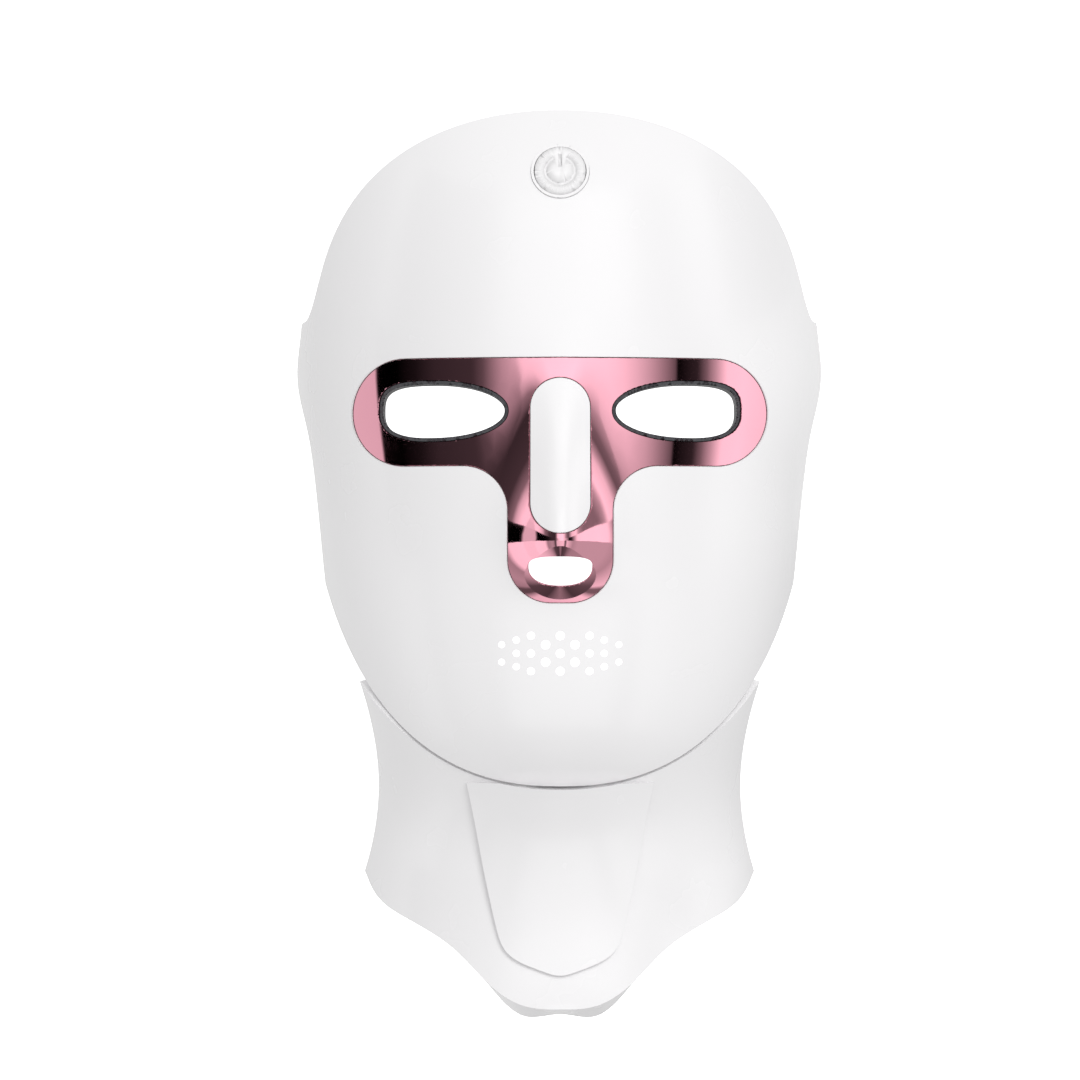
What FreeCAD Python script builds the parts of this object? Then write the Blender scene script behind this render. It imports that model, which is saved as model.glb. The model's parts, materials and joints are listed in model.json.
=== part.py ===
import FreeCAD, Part
import math
import os

V = FreeCAD.Vector

# A light-therapy mask for face and neck, in millimetres.
# X runs across the face, Y from the mask's front to the back of the head, Z up.
# The origin is the point on the bridge of the nose where the mask's nose pad sits.

# --- driving sizes --------------------------------------------------------------------------------
# face module, outline
FOREHEAD_Z = 96.6        # top edge on the centre line
CHIN_Z = -119.4          # bottom edge on the centre line
TAB_X = 85.8             # upper rear corner, at the temple
JAW_X = 77.4             # lower rear corner, at the angle of the jaw
TOP_SPAN = 82.7          # half width at which the top edge would turn straight down
TOP_BASE_Z = -21.4
SHOULDER_X = 80.0        # from here out the top edge falls straight to the temple corner
SHOULDER_FALL = 1.78
JAW_SPAN = 88.7
JAW_BASE_Z = 60.0
SWELL = 3.5              # how far the strap tab stands out beyond a straight side edge
SWELL_Z = 13.0
SWELL_SPAN = 15.5
# face module, form
FRONT_Y = -20.0          # front of the brow
WRAP = 108.0             # depth from the front to where the sides run straight back
WRAP_SIDE = 88.4         # half width that goes with that depth
FULLNESS = 2.3           # 2 is an ellipse and more is squarer
NOSE_HEIGHT = 15.0
NOSE_TIP_Z = -41.0
NOSE_TIP_WIDTH = 13.0
NOSE_ROOT_WIDTH = 9.5
# walls and stack, measured inwards from the outer surface
MODULE = 12.0            # whole thickness of the face module
NECK_MODULE = 9.6        # whole thickness of the neck module
SHELL = 2.2
RIM = 2.4                # edge wall that closes a module
COVER = 1.6
BOARD = 1.0
BOARD_TO_COVER = 2.0     # room for the light-emitting diodes
LED = 3.5                # side of a diode's square package
LED_HEIGHT = 1.2
SOLDER = 0.15            # gap under each package
FIT = 0.2                # between pieces fitted in the same body
RUNNING = 0.3            # between pieces of different bodies
# visor
VISOR_HALF = 66.5
VISOR_TOP = 16.6
VISOR_BOTTOM = -17.4
STEM_HALF = 16.5
STEM_BOTTOM = -60.7
STEM_CORNER = 13.5
CROOK = 14.4             # radius where the bar meets the stem
VISOR = 1.8
VISOR_SET_BACK = 0.3
LEDGE = 2.6
EYE_X = 41.0             # where the eye opening is highest
EYE_Z = -0.1
EYE_HALF_HEIGHT = 9.8
EYE_INNER = 24.7
EYE_OUTER = 16.8
GASKET = 1.1
VISOR_ROUND = 0.5        # on the visor's front edges and those of the insert
RECESS_ROUND = 0.4       # on the shell's edge round the visor
NOSTRIL_HALF = 10.0
NOSTRIL_Z = -49.3
NOSTRIL_UP = 3.1
NOSTRIL_DOWN = 6.0
PILL_HALF = 9.4
PILL_TOP = 10.2
PILL_BOTTOM = -38.8
# mouth
MOUTH_Z = -76.8
MOUTH_PITCH = 4.63
MOUTH_HALF = 24.0
MOUTH_HALF_HEIGHT = 10.5
# button
BUTTON_Z = 76.2
BUTTON_R = 8.1
BEZEL_R = 9.3
TRAVEL = 0.7
# inside the face module
BATTERY_Z = 42.0
PAD_HALF = 34.0          # forehead pad
PAD_TOP = 76.0
PAD_BOTTOM = 60.0
# neck
NECK_X = 65.0
NECK_CORNER_Z = -86.4
NECK_WAIST_Z = -118.8
NECK_WAIST_X = 59.8
NECK_BOTTOM_Z = -190.0
NECK_LOW_X = 64.2        # half width where the bib's lower edge ends
NECK_TUCK = 1.2          # how far the neck's upper edge lies behind the jaw's edge
NECK_SEAM = 0.8
NECK_DEPTH = 68.0
# strap
STRAP_WIDTH = 20.0
STRAP = 1.6
STRAP_BACK = 98.0
STRAP_TILT = 9.0

BACK = 200.0             # further back than any piece that a straight cut has to pass


def smooth(t):
    t = min(1.0, max(0.0, t))
    return t * t * (3 - 2 * t)


def lerp(a, b, t):
    return a + (b - a) * t


def spread(*spans):
    """Grid values: each span is (start, end, intervals), joined end to end."""
    values = [spans[0][0]]
    for start, end, count in spans:
        values += [lerp(start, end, (i + 1) / count) for i in range(count)]
    return values


class Profile:
    """A smooth function through (position, value) stations."""

    def __init__(self, *stations):
        where = [a for a, _ in stations]
        self.curve = Part.BSplineCurve()
        self.curve.interpolate(Points=[V(a, b, 0) for a, b in stations], Parameters=where)
        self.low, self.high = where[0], where[-1]

    def at(self, a):
        return self.curve.value(min(self.high, max(self.low, a))).y


class Form:
    """A wrapped surface: where its grid lies in the front view, and how deep it is there."""

    def __init__(self, y, plan, us, vs, plain_us, plain_vs):
        self.y, self.plan = y, plan
        self.us, self.vs = us, vs
        self.plain_us, self.plain_vs = plain_us, plain_vs
        middle = [self.point(i / 20, 0.5, 0) for i in range(21)]
        self.arc = sum(a.distanceToPoint(b) for a, b in zip(middle, middle[1:]))

    def inward(self, x, z, raised=True):
        h = 0.05
        slope_x = (self.y(x + h, z, raised) - self.y(x - h, z, raised)) / (2 * h)
        slope_z = (self.y(x, z + h, raised) - self.y(x, z - h, raised)) / (2 * h)
        return V(-slope_x, 1, -slope_z).normalize()

    def below(self, x, z, depth, raised=True):
        return V(x, self.y(x, z, raised), z) + self.inward(x, z, raised) * depth

    def point(self, u, v, depth, raised=True, inset=0.0):
        if inset:
            u *= 1 - inset / self.arc
            margin = inset / (self.point(u, 1, 0) - self.point(u, 0, 0)).Length
            v = lerp(margin, 1 - margin, v)
        x, z = self.plan(u, v)
        return self.below(x, z, depth, raised)

    def site(self, x, z, depth=0.0, raised=True):
        """A placement on the surface whose own Z runs inwards and whose own Y runs up."""
        inward = self.inward(x, z, raised)
        turn = FreeCAD.Rotation(V(-1, 0, 0), V(0, 0, 1), inward, "ZYX")
        return FreeCAD.Placement(self.below(x, z, depth, raised), turn)

    def slab(self, near, far, inset=0.0, near_raised=True, far_raised=False):
        """The solid between two depths; raised is with the nose or throat standing out."""
        fine = near_raised or far_raised
        us, vs = (self.us, self.vs) if fine else (self.plain_us, self.plain_vs)
        front = [[self.point(u, v, near, near_raised, inset) for v in vs] for u in us]
        back = [[self.point(u, v, far, far_raised, inset) for v in vs] for u in us]
        return between(front, back)


def between(front, back):
    """The closed solid between two grids of points."""
    faces = []
    for grid in (front, back):
        surface = Part.BSplineSurface()
        surface.interpolate(grid)
        faces.append(surface.toShape())
    walls = [Part.makeRuledSurface(a, b) for a, b in zip(faces[0].Edges, faces[1].Edges)]
    shell = Part.makeShell(faces + walls)
    shell.sewShape()
    solid = Part.makeSolid(shell)
    if solid.Volume < 0:
        solid.reverse()
    return solid


def prism(wire, near=-BACK, far=BACK):
    """A front-view outline drawn out along Y."""
    return Part.Face(wire).translated(V(0, near, 0)).extrude(V(0, far - near, 0))


def ring(outline, out, inner):
    return prism(outline(out)).cut(prism(outline(inner)))


def mirrored(shape):
    return shape.mirror(V(0, 0, 0), V(1, 0, 0))


def disc(radius, low, high, place, inner=0.0):
    """A round piece along a placement's own Z, with a bore if inner is given."""
    shape = Part.makeCylinder(radius, high - low, V(0, 0, low))
    if inner:
        shape = shape.cut(Part.makeCylinder(inner, high - low + 2, V(0, 0, low - 1)))
    shape.Placement = place.multiply(shape.Placement)
    return shape


def block(width, height, low, high, place, radius=0.0):
    """A plate along a placement's own Z, centred on it."""
    shape = Part.makeBox(width, height, high - low, V(-width / 2, -height / 2, low))
    if radius:
        upright = [e for e in shape.Edges if abs(e.tangentAt(e.FirstParameter).z) > 0.99]
        shape = shape.makeFillet(radius, upright)
    shape.Placement = place.multiply(shape.Placement)
    return shape


def softened(shape, form, depth, radius, outline=None):
    """Rounds off the edges that lie at one depth of a form, within an outline if one is given."""
    within = Part.Face(outline) if outline else None
    edges = []
    for edge in shape.Edges:
        spots = [edge.valueAt(lerp(edge.FirstParameter, edge.LastParameter, s)) for s in (0.1, 0.5, 0.8)]
        level = [(p.y - form.y(p.x, p.z, True)) * form.inward(p.x, p.z).y for p in spots]
        if all(abs(reached - depth) < 0.15 for reached in level):
            if within is None or within.isInside(V(spots[1].x, 0, spots[1].z), 1e-3, True):
                edges.append(edge)
    return shape.makeFillet(radius, edges)


# --- the face's form ------------------------------------------------------------------------------
FRONT = Profile((CHIN_Z, FRONT_Y + 11.3), (CHIN_Z + 11.4, FRONT_Y + 3.9), (CHIN_Z + 24.4, FRONT_Y - 0.5),
                (CHIN_Z + 44.4, FRONT_Y - 2.5), (-20.0, FRONT_Y - 1.5), (20.0, FRONT_Y),
                (FOREHEAD_Z - 46.6, FRONT_Y + 2.4), (FOREHEAD_Z - 20.6, FRONT_Y + 8.6),
                (FOREHEAD_Z, FRONT_Y + 19.0))


def wrapped(x, side, depth):
    share = min(0.999, abs(x) / side)
    return depth * (1 - (1 - share ** FULLNESS) ** (1 / FULLNESS))


def edge_top(x):
    reach = FOREHEAD_Z - TOP_BASE_Z
    z = TOP_BASE_Z + reach * (1 - (min(x, SHOULDER_X) / TOP_SPAN) ** 2.04) ** 0.25
    return z - max(0.0, x - SHOULDER_X) * SHOULDER_FALL


def edge_bottom(x):
    return JAW_BASE_Z - (JAW_BASE_Z - CHIN_Z) * (1 - (x / JAW_SPAN) ** 2.31) ** (1 / 2.94)


def across(u):
    """Even steps around the wrap, as a share of the half width."""
    turn = math.radians(84)
    return math.sin(abs(u) * turn) / math.sin(turn)


def face_plan(u, v):
    x_top, x_low = TAB_X * across(u), JAW_X * across(u)
    z = lerp(edge_bottom(x_low), edge_top(x_top), v)
    swell = SWELL * math.exp(-((z - SWELL_Z) / SWELL_SPAN) ** 2) * (1 - math.exp(-12 * (1 - v)))
    return math.copysign(lerp(x_low, x_top, v) + swell * across(u) ** 6, u), z


# half width at which the side would run straight back, from chin to forehead
SIDE = Profile((CHIN_Z, 0.75 * JAW_X), (CHIN_Z + 33.4, 0.92 * JAW_X), (-54.7, JAW_X + 1.6),
               (-28.0, TAB_X - 3.6), (-11.5, TAB_X - 0.8), (SWELL_Z, TAB_X + 2.8), (30.0, TAB_X + 2.2),
               (48.0, TAB_X), (FOREHEAD_Z - 26.6, TAB_X - 4.0), (FOREHEAD_Z, TAB_X - 10.8))


def nose(x, z):
    above = z > NOSE_TIP_Z
    rise = math.exp(-(abs(z - NOSE_TIP_Z) / (30.0 if above else 12.0)) ** (1.6 if above else 2.0))
    width = lerp(NOSE_TIP_WIDTH, NOSE_ROOT_WIDTH, smooth((z - NOSE_TIP_Z) / 40))
    return NOSE_HEIGHT * rise * math.exp(-(x / width) ** 2)


def face_y(x, z, raised):
    y = FRONT.at(z) + wrapped(x, SIDE.at(z), WRAP * SIDE.at(z) / WRAP_SIDE)
    return y - nose(x, z) if raised else y


FACE = Form(face_y, face_plan,
            spread((-1, -0.25, 9), (-0.25, 0.25, 12), (0.25, 1, 9)),
            spread((0, 0.24, 6), (0.24, 0.6, 14), (0.6, 1, 7)),
            spread((-1, -0.25, 9), (-0.25, 0.25, 4), (0.25, 1, 9)),
            spread((0, 0.24, 6), (0.24, 0.6, 6), (0.6, 1, 7)))

# --- the neck's form ------------------------------------------------------------------------------
WAIST = (NECK_WAIST_Z, NECK_WAIST_X + 1.6)
NECK_SIDE = Profile((NECK_BOTTOM_Z, NECK_X + 2), (NECK_BOTTOM_Z + 40, NECK_X + 1.6), WAIST,
                    (-100.0, NECK_X - 0.6), (NECK_CORNER_Z, NECK_X + 1.8), (-80.0, NECK_X + 2.4))
CHIN_Y = FRONT.at(CHIN_Z) + NECK_TUCK
NECK_FRONT = Profile((NECK_BOTTOM_Z, CHIN_Y - 5.0), (NECK_BOTTOM_Z + 20, CHIN_Y + 3.6),
                     (NECK_BOTTOM_Z + 40, CHIN_Y + 7.4), (CHIN_Z - 14.6, CHIN_Y + 6.0),
                     (CHIN_Z - NECK_SEAM, CHIN_Y), (CHIN_Z + 11.4, CHIN_Y - 6.6),
                     (NECK_CORNER_Z, CHIN_Y - 18.0), (-80.0, CHIN_Y - 21.0))
# the bib's lower edge, as height above its lowest point at each distance from the middle
BIB = Profile((0.0, 0.0), (9.0, 0.4), (21.0, 6.0), (30.5, 15.0), (39.9, 21.9), (53.6, 28.7), (60.0, 33.4),
              (NECK_LOW_X, 40.0))
# the throat panel's half width at each height above the bib's lowest point
TONGUE = Profile((10.0, 0.0), (14.5, 12.4), (26.0, 20.6), (44.0, 24.6), (58.0, 27.2), (72.0, 30.0))


def neck_y(x, z, raised):
    return NECK_FRONT.at(z) + wrapped(x, NECK_SIDE.at(z), NECK_DEPTH)


def neck_top(x):
    return edge_bottom(x) - NECK_SEAM - 3.1 * (x / NECK_X) ** 6


def neck_plan(u, v):
    x_top, x_low = NECK_X * across(u), NECK_LOW_X * across(u)
    z = lerp(NECK_BOTTOM_Z + BIB.at(x_low), neck_top(x_top), v)
    waist = (NECK_X - NECK_WAIST_X) * 4 * v * (1 - v) * across(u) ** 4
    return math.copysign(lerp(x_low, x_top, v) - waist, u), z


NECK = Form(neck_y, neck_plan, spread((-1, 1, 16)), spread((0, 1, 9)), spread((-1, 1, 16)),
            spread((0, 1, 9)))


# --- front-view outlines --------------------------------------------------------------------------
def arc(centre, radius, start, end):
    """An arc in the XZ plane, by angles in degrees from +X towards +Z."""
    middle = (start + end) / 2
    p = [V(centre[0] + radius * math.cos(math.radians(a)), 0,
           centre[1] + radius * math.sin(math.radians(a))) for a in (start, middle, end)]
    return Part.Arc(*p).toShape()


def joined(edges):
    """A closed wire through the given edges in order, with straight lines across the gaps."""
    closed = []
    for i, edge in enumerate(edges):
        following = edges[(i + 1) % len(edges)]
        closed.append(edge)
        a, b = edge.valueAt(edge.LastParameter), following.valueAt(following.FirstParameter)
        if a.distanceToPoint(b) > 1e-6:
            closed.append(Part.makeLine(a, b))
    return Part.Wire(closed)


def visor_outline(out=0.0):
    end = (VISOR_TOP - VISOR_BOTTOM) / 2
    end_x, end_z = VISOR_HALF - end, VISOR_TOP - end
    crook_x, crook_z = STEM_HALF + CROOK, VISOR_BOTTOM - CROOK
    corner_x, corner_z = STEM_HALF - STEM_CORNER, STEM_BOTTOM + STEM_CORNER
    return joined([arc((end_x, end_z), end + out, 90, -90),
                   arc((crook_x, crook_z), CROOK - out, 90, 180),
                   arc((corner_x, corner_z), STEM_CORNER + out, 0, -90),
                   arc((-corner_x, corner_z), STEM_CORNER + out, -90, -180),
                   arc((-crook_x, crook_z), CROOK - out, 0, 90),
                   arc((-end_x, end_z), end + out, -90, -270)])


def loop(quarters, out, count=9):
    """A closed smooth curve of superellipse quarters about one centre.

    Each quarter is (half width, half height, power), from +X anticlockwise.
    """
    points = []
    for q, (half, rise, power) in enumerate(quarters):
        sign_x, sign_z = ((1, 1), (-1, 1), (-1, -1), (1, -1))[q]
        for i in range(count):
            a = math.pi / 2 * (i / count if q % 2 == 0 else 1 - i / count)
            c, s = math.cos(a), math.sin(a)
            x, z = c ** (2 / power), s ** (2 / power)
            normal = V(x ** (power - 1) / half, 0, z ** (power - 1) / rise)
            normal.normalize()
            points.append(V(sign_x * (half * x + out * normal.x), 0,
                            sign_z * (rise * z + out * normal.z)))
    curve = Part.BSplineCurve()
    curve.interpolate(Points=points, PeriodicFlag=True)
    return Part.Wire(curve.toShape())


def eye_outline(out=0.0):
    quarters = ((EYE_OUTER, EYE_HALF_HEIGHT, 3.2), (EYE_INNER, EYE_HALF_HEIGHT, 2.1),
                (EYE_INNER, EYE_HALF_HEIGHT, 2.1), (EYE_OUTER, EYE_HALF_HEIGHT, 2.5))
    return loop(quarters, out).translated(V(EYE_X, 0, EYE_Z))


def nostril_outline(out=0.0):
    up, down = (NOSTRIL_HALF, NOSTRIL_UP, 3.0), (NOSTRIL_HALF, NOSTRIL_DOWN, 2.3)
    return loop((up, up, down, down), out, 7).translated(V(0, 0, NOSTRIL_Z))


def rounded(half_x, top, bottom, radius):
    def outline(out=0.0):
        r = radius + out
        x, high, low = half_x - radius, top - radius, bottom + radius
        return joined([arc((x, high), r, 90, 0), arc((x, low), r, 0, -90),
                       arc((-x, low), r, -90, -180), arc((-x, high), r, 180, 90)])
    return outline


pill_outline = rounded(PILL_HALF, PILL_TOP, PILL_BOTTOM, PILL_HALF)
mouth_outline = rounded(MOUTH_HALF, MOUTH_Z + MOUTH_HALF_HEIGHT, MOUTH_Z - MOUTH_HALF_HEIGHT,
                        MOUTH_HALF_HEIGHT)


def mouth_holes():
    """Breathing holes: (x, z, radius), in columns that shrink outwards."""
    columns = ((0, 5.6, 3, 1.4), (1, 2.75, 2, 1.45), (2, 5.6, 3, 1.25), (3, 4.2, 3, 1.12),
               (4, 2.75, 2, 1.05))
    holes = []
    for step, reach, count, radius in columns:
        for i in range(count):
            z = MOUTH_Z + lerp(-reach, reach, i / (count - 1))
            holes += [(side * step * MOUTH_PITCH, z, radius) for side in ((1, -1) if step else (1,))]
    return holes


# --- places that several pieces share -------------------------------------------------------------
def edge_site(form, u, v, depth):
    """A placement on a module's edge wall: own Z leaves the module, own Y runs inwards."""
    h = 1e-3
    inward = form.inward(*form.plan(u, v), False)
    if abs(u) == 1:
        along = form.point(u, v + h, 0, False) - form.point(u, v - h, 0, False)
    else:
        along = form.point(u - h, v, 0, False) - form.point(u + h, v, 0, False)
    outward = inward.cross(along).normalize()
    if outward.dot(form.point(u, v, 0, False) - form.point(0, 0.5, 0, False)) < 0:
        outward = outward.negative()
    turn = FreeCAD.Rotation(V(), inward, outward, "ZYX")
    return FreeCAD.Placement(form.point(u, v, depth, False), turn)


FACE_SCREWS = [(s * x, z) for x, z in ((28.0, FOREHEAD_Z - 11.6), (TAB_X - 15.8, 44.0),
                                       (JAW_X - 2.9, -36.0), (45.0, CHIN_Z + 24.4)) for s in (1, -1)]
NECK_SCREWS = [(s * x, z) for x, z in ((NECK_WAIST_X - 7.8, CHIN_Z + 7.4),
                                       (NECK_WAIST_X - 5.8, NECK_BOTTOM_Z + 40),
                                       (20.0, NECK_BOTTOM_Z + 14)) for s in (1, -1)]
FACE_BOARD = MODULE - COVER - BOARD_TO_COVER - BOARD      # depth of the board's front
NECK_BOARD = NECK_MODULE - COVER - BOARD_TO_COVER + 0.4 - BOARD
BOSS_R = 3.2
SCREW_R = 1.0
HEAD_R = 2.0
HEAD = 1.0
BUTTON_AT = FACE.site(0, BUTTON_Z)
BUTTON_BOARD = 8.2       # depth of the control board's front
PORT_HALF = 10.4
PORT_AT = edge_site(FACE, 0, 1, 6.2)
CONTACT_AT = edge_site(FACE, 0, 0, 6.0)
PLUG_AT = edge_site(NECK, 0, 1, 4.8)
MAGNET_U = 0.24
STRAP_V = 0.86
TAPE = 0.1               # bonded joints
CLAMP = (STRAP_WIDTH + 7, STRAP + 3.6)


def tab_site():
    """Where the strap leaves the temple: own Z runs back along the strap and own Y inwards."""
    site = edge_site(FACE, 1, STRAP_V, MODULE / 2)
    rearward = site.Rotation.multVec(V(0, 0, 1))
    rearward.z = 0
    rearward.normalize()
    rearward.z = math.tan(math.radians(STRAP_TILT))
    inward = V(-rearward.y, rearward.x, 0).normalize()
    return FreeCAD.Placement(site.Base, FreeCAD.Rotation(V(), inward, rearward, "ZYX"))


TAB_AT = tab_site()


def bosses(form, spots, low, high, bore):
    return [disc(BOSS_R, low, high, form.site(x, z, 0, False), bore) for x, z in spots]


def drilled(shape, form, spots, radius, low=-5, high=30):
    return shape.cut([disc(radius, low, high, form.site(x, z, 0, False)) for x, z in spots])


def skirt(outline, near):
    """A wall from behind the outer shell to the inner cover, around an opening."""
    return FACE.slab(near, MODULE - 0.5).common(ring(outline, 3.8, 2.4))


# --- face module ----------------------------------------------------------------------------------
def outer_shell():
    shell = FACE.slab(0, MODULE)
    shell = shell.cut(FACE.slab(SHELL, MODULE + 1, RIM, True, False))
    ledge = FACE.slab(SHELL - 0.7, SHELL + 1.5, 0, True, True)
    ledge = ledge.common(ring(visor_outline, 1.5, -LEDGE - 1))
    posts = bosses(FACE, FACE_SCREWS, SHELL - 0.6, FACE_BOARD - TAPE, 0)
    shell = shell.fuse([ledge] + posts)
    recess = FACE.slab(-3, SHELL, 0, True, True).common(prism(visor_outline(FIT)))
    shell = shell.cut(prism(visor_outline(-LEDGE))).cut(recess)
    shell = softened(shell, FACE, 0, RECESS_ROUND, visor_outline(1.0))
    shell = drilled(shell, FACE, FACE_SCREWS, SCREW_R - 0.15, SHELL + 0.4, 20)
    holes = [Part.makeCylinder(r, 120, V(x, -90, z), V(0, 1, 0)) for x, z, r in mouth_holes()]
    bezel = disc(BEZEL_R + TAPE, -5, 4, BUTTON_AT)
    port = block(2 * PORT_HALF + 2 * TAPE, 6.2, -6, 6, PORT_AT, 1.5)
    contact = block(14.2, 4.2, -6, 6, CONTACT_AT, 1.0)
    tab = block(CLAMP[0] + 2 * TAPE, CLAMP[1] + 2 * TAPE, -RIM - 2, 20, TAB_AT, 1.6)
    return shell.cut(holes + [bezel, port, contact, tab, mirrored(tab)])


def visor():
    sheet = FACE.slab(VISOR_SET_BACK, VISOR_SET_BACK + VISOR, 0, True, True).common(prism(visor_outline()))
    openings = [prism(eye_outline()), mirrored(prism(eye_outline()))]
    sheet = sheet.cut(openings + [prism(nostril_outline()), prism(pill_outline(FIT))])
    return softened(sheet, FACE, VISOR_SET_BACK, VISOR_ROUND)


def nose_insert():
    front = FACE.slab(-0.5, 2.6, 0, True, True).common(prism(pill_outline()))
    flange = FACE.slab(2.3, 3.4, 0, True, True).common(prism(pill_outline(1.8)))
    return softened(front, FACE, -0.5, VISOR_ROUND).fuse(flange)


def eye_gasket():
    """A soft sleeve through the eye opening that keeps the light off the eye."""
    sleeve = FACE.slab(0.7, 14.4, 0, True, False).common(ring(eye_outline, -FIT, -FIT - GASKET))
    flange = FACE.slab(2.3, 3.5, 0, True, True).common(ring(eye_outline, 2.2, -FIT - GASKET))
    lip = FACE.slab(13.8, 15.0, 0, False, False).common(ring(eye_outline, 2.6, -FIT - GASKET))
    return sleeve.fuse([flange, lip])


def inner_cover():
    cover = FACE.slab(MODULE - COVER, MODULE, RIM + FIT, False, False)
    cover = cover.cut([prism(visor_outline(3.0)), prism(mouth_outline(3.0))])
    cover = cover.fuse([skirt(visor_outline, SHELL + 1.7), skirt(mouth_outline, SHELL + 0.2)])
    cover = cover.fuse(bosses(FACE, FACE_SCREWS, FACE_BOARD + BOARD + FIT, MODULE - 0.6, 0))
    cover = drilled(cover, FACE, FACE_SCREWS, SCREW_R + 0.2)
    return drilled(cover, FACE, FACE_SCREWS, HEAD_R + FIT, MODULE - HEAD - 0.3, 20)


def led_board():
    board = FACE.slab(FACE_BOARD, FACE_BOARD + BOARD, RIM + 1.0, False, False)
    board = board.cut([prism(visor_outline(4.4)), prism(mouth_outline(4.4))])
    board = board.cut([block(40, 27, 0, 20, BUTTON_AT), block(22, 10, -16, 4, PORT_AT)])
    board = board.cut(block(56, 14, -9, 4, CONTACT_AT))
    return drilled(board, FACE, FACE_SCREWS, SCREW_R + 0.3)


def clear_of(x, z, spots, reach):
    return all(math.hypot(x - a, z - b) > reach for a, b in spots)


def diode(form, x, z, depth):
    low = depth + BOARD + SOLDER
    return block(LED, LED, low, low + LED_HEIGHT, form.site(x, z, 0, False))


def face_leds():
    shapes = []
    keep_out = [Part.Face(visor_outline(7.5)), Part.Face(mouth_outline(7.5))]
    for i in range(-6, 7):
        for j in range(12):
            x, z = FACE.plan(i * 0.143, 0.06 + 0.08 * j)
            spot = FACE.below(x, z, FACE_BOARD, False)
            inside = any(face.isInside(V(spot.x, 0, spot.z), 1e-3, True) for face in keep_out)
            by_button = abs(x) < 25 and z > BUTTON_Z - 18
            by_contact = abs(x) < 32 and z < CHIN_Z + 16
            by_tab = abs(x) > TAB_X - 6 and z > 24
            blocked = inside or by_button or by_contact or by_tab
            if clear_of(x, z, FACE_SCREWS, 7.0) and not blocked:
                shapes.append(diode(FACE, x, z, FACE_BOARD))
    return Part.makeCompound(shapes)


def power_button():
    cap = disc(BUTTON_R, -0.5, 3.3, BUTTON_AT)
    cap = cap.fuse([disc(BEZEL_R, 3.1, 4.1, BUTTON_AT), disc(2.0, 4.1, 5.2, BUTTON_AT)])
    circle = disc(5.2, -1, -0.3, BUTTON_AT, 4.15).cut(above(block(3.6, 4, -2, 0, BUTTON_AT), 5))
    return cap.cut([circle, above(block(1.16, 4.6, -1, -0.3, BUTTON_AT), 3.5)])


def above(shape, rise):
    """A piece moved up the surface at the button."""
    return shape.translated(BUTTON_AT.Rotation.multVec(V(0, rise, 0)))


def button_ring():
    return disc(BEZEL_R, -0.25, 3.0, BUTTON_AT, BUTTON_R + RUNNING)


def tact_switch():
    body = block(6, 6, 6.6, BUTTON_BOARD - 0.05, BUTTON_AT)
    return body.fuse(disc(1.7, 5.2 + TRAVEL + 0.1, 6.8, BUTTON_AT))


def control_board():
    return block(36, 24, BUTTON_BOARD, BUTTON_BOARD + BOARD, BUTTON_AT, 1.5)


def battery():
    return block(34, 24, FACE_BOARD - 3.3, FACE_BOARD - 0.3, FACE.site(0, BATTERY_Z, 0, False), 1.2)


def usb_socket():
    socket = block(8.94, 3.2, -7.3, 0, PORT_AT, 1.2)
    socket = socket.cut(block(8.4, 2.6, -6.0, 1, PORT_AT, 1.0))
    return socket.fuse(block(6.7, 0.7, -6.2, -0.8, PORT_AT))


def port_bezel():
    plug = block(2 * PORT_HALF, 6.0, -RIM - 0.6, 0.5, PORT_AT, 1.4)
    return plug.cut(block(9.2, 3.4, -8, 2, PORT_AT, 1.3))


def forehead_pad():
    pad = FACE.slab(MODULE + TAPE, MODULE + 4.5, 0, False, False)
    return pad.common(prism(rounded(PAD_HALF, PAD_TOP, PAD_BOTTOM, 8.0)()))


def nose_pad():
    """A saddle between the eyes, from the visor's back to the bridge of the nose."""
    outline = rounded(13.0, 9.0, -9.0, 5.0)
    pad = FACE.slab(3.7, 40, 0, True, False).common(prism(outline(), -BACK, 5.0))
    saddle = Part.makeCone(9.0, 11.5, 24, V(0, 8.8, 12), V(0, 0.1, -1))
    return pad.cut([saddle, prism(outline(-1.8), -BACK, -6.0)])


# --- neck module ----------------------------------------------------------------------------------
def tongue_outline(out=0.0):
    """The raised throat panel, widest at its top under the chin."""
    rises = [CHIN_Z + 1 - NECK_BOTTOM_Z, 58.0, 44.0, 26.0, 18.0, 12.0]
    side = [V(TONGUE.at(rise) + out, 0, NECK_BOTTOM_Z + rise) for rise in rises]
    curve = Part.BSplineCurve()
    points = side + [V(0, 0, NECK_BOTTOM_Z + 10.4 - out)] + [V(-p.x, 0, p.z) for p in reversed(side)]
    curve.interpolate(Points=points)
    return joined([curve.toShape()])


def tongue_slab(near, far):
    def y(x, z, lift):
        rise = 1.4 + 5.2 * (1 - smooth((CHIN_Z - 6 - z) / 62)) * (1 - min(1, (x / 31) ** 2))
        return neck_y(x, z, False) - (rise if lift else 0)
    xs, zs = spread((-32, 32, 10)), spread((NECK_BOTTOM_Z + 7, CHIN_Z + 2, 9))
    front = [[V(x, y(x, z, True) + near, z) for z in zs] for x in xs]
    back = [[V(x, y(x, z, False) + far, z) for z in zs] for x in xs]
    return between(front, back)


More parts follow.
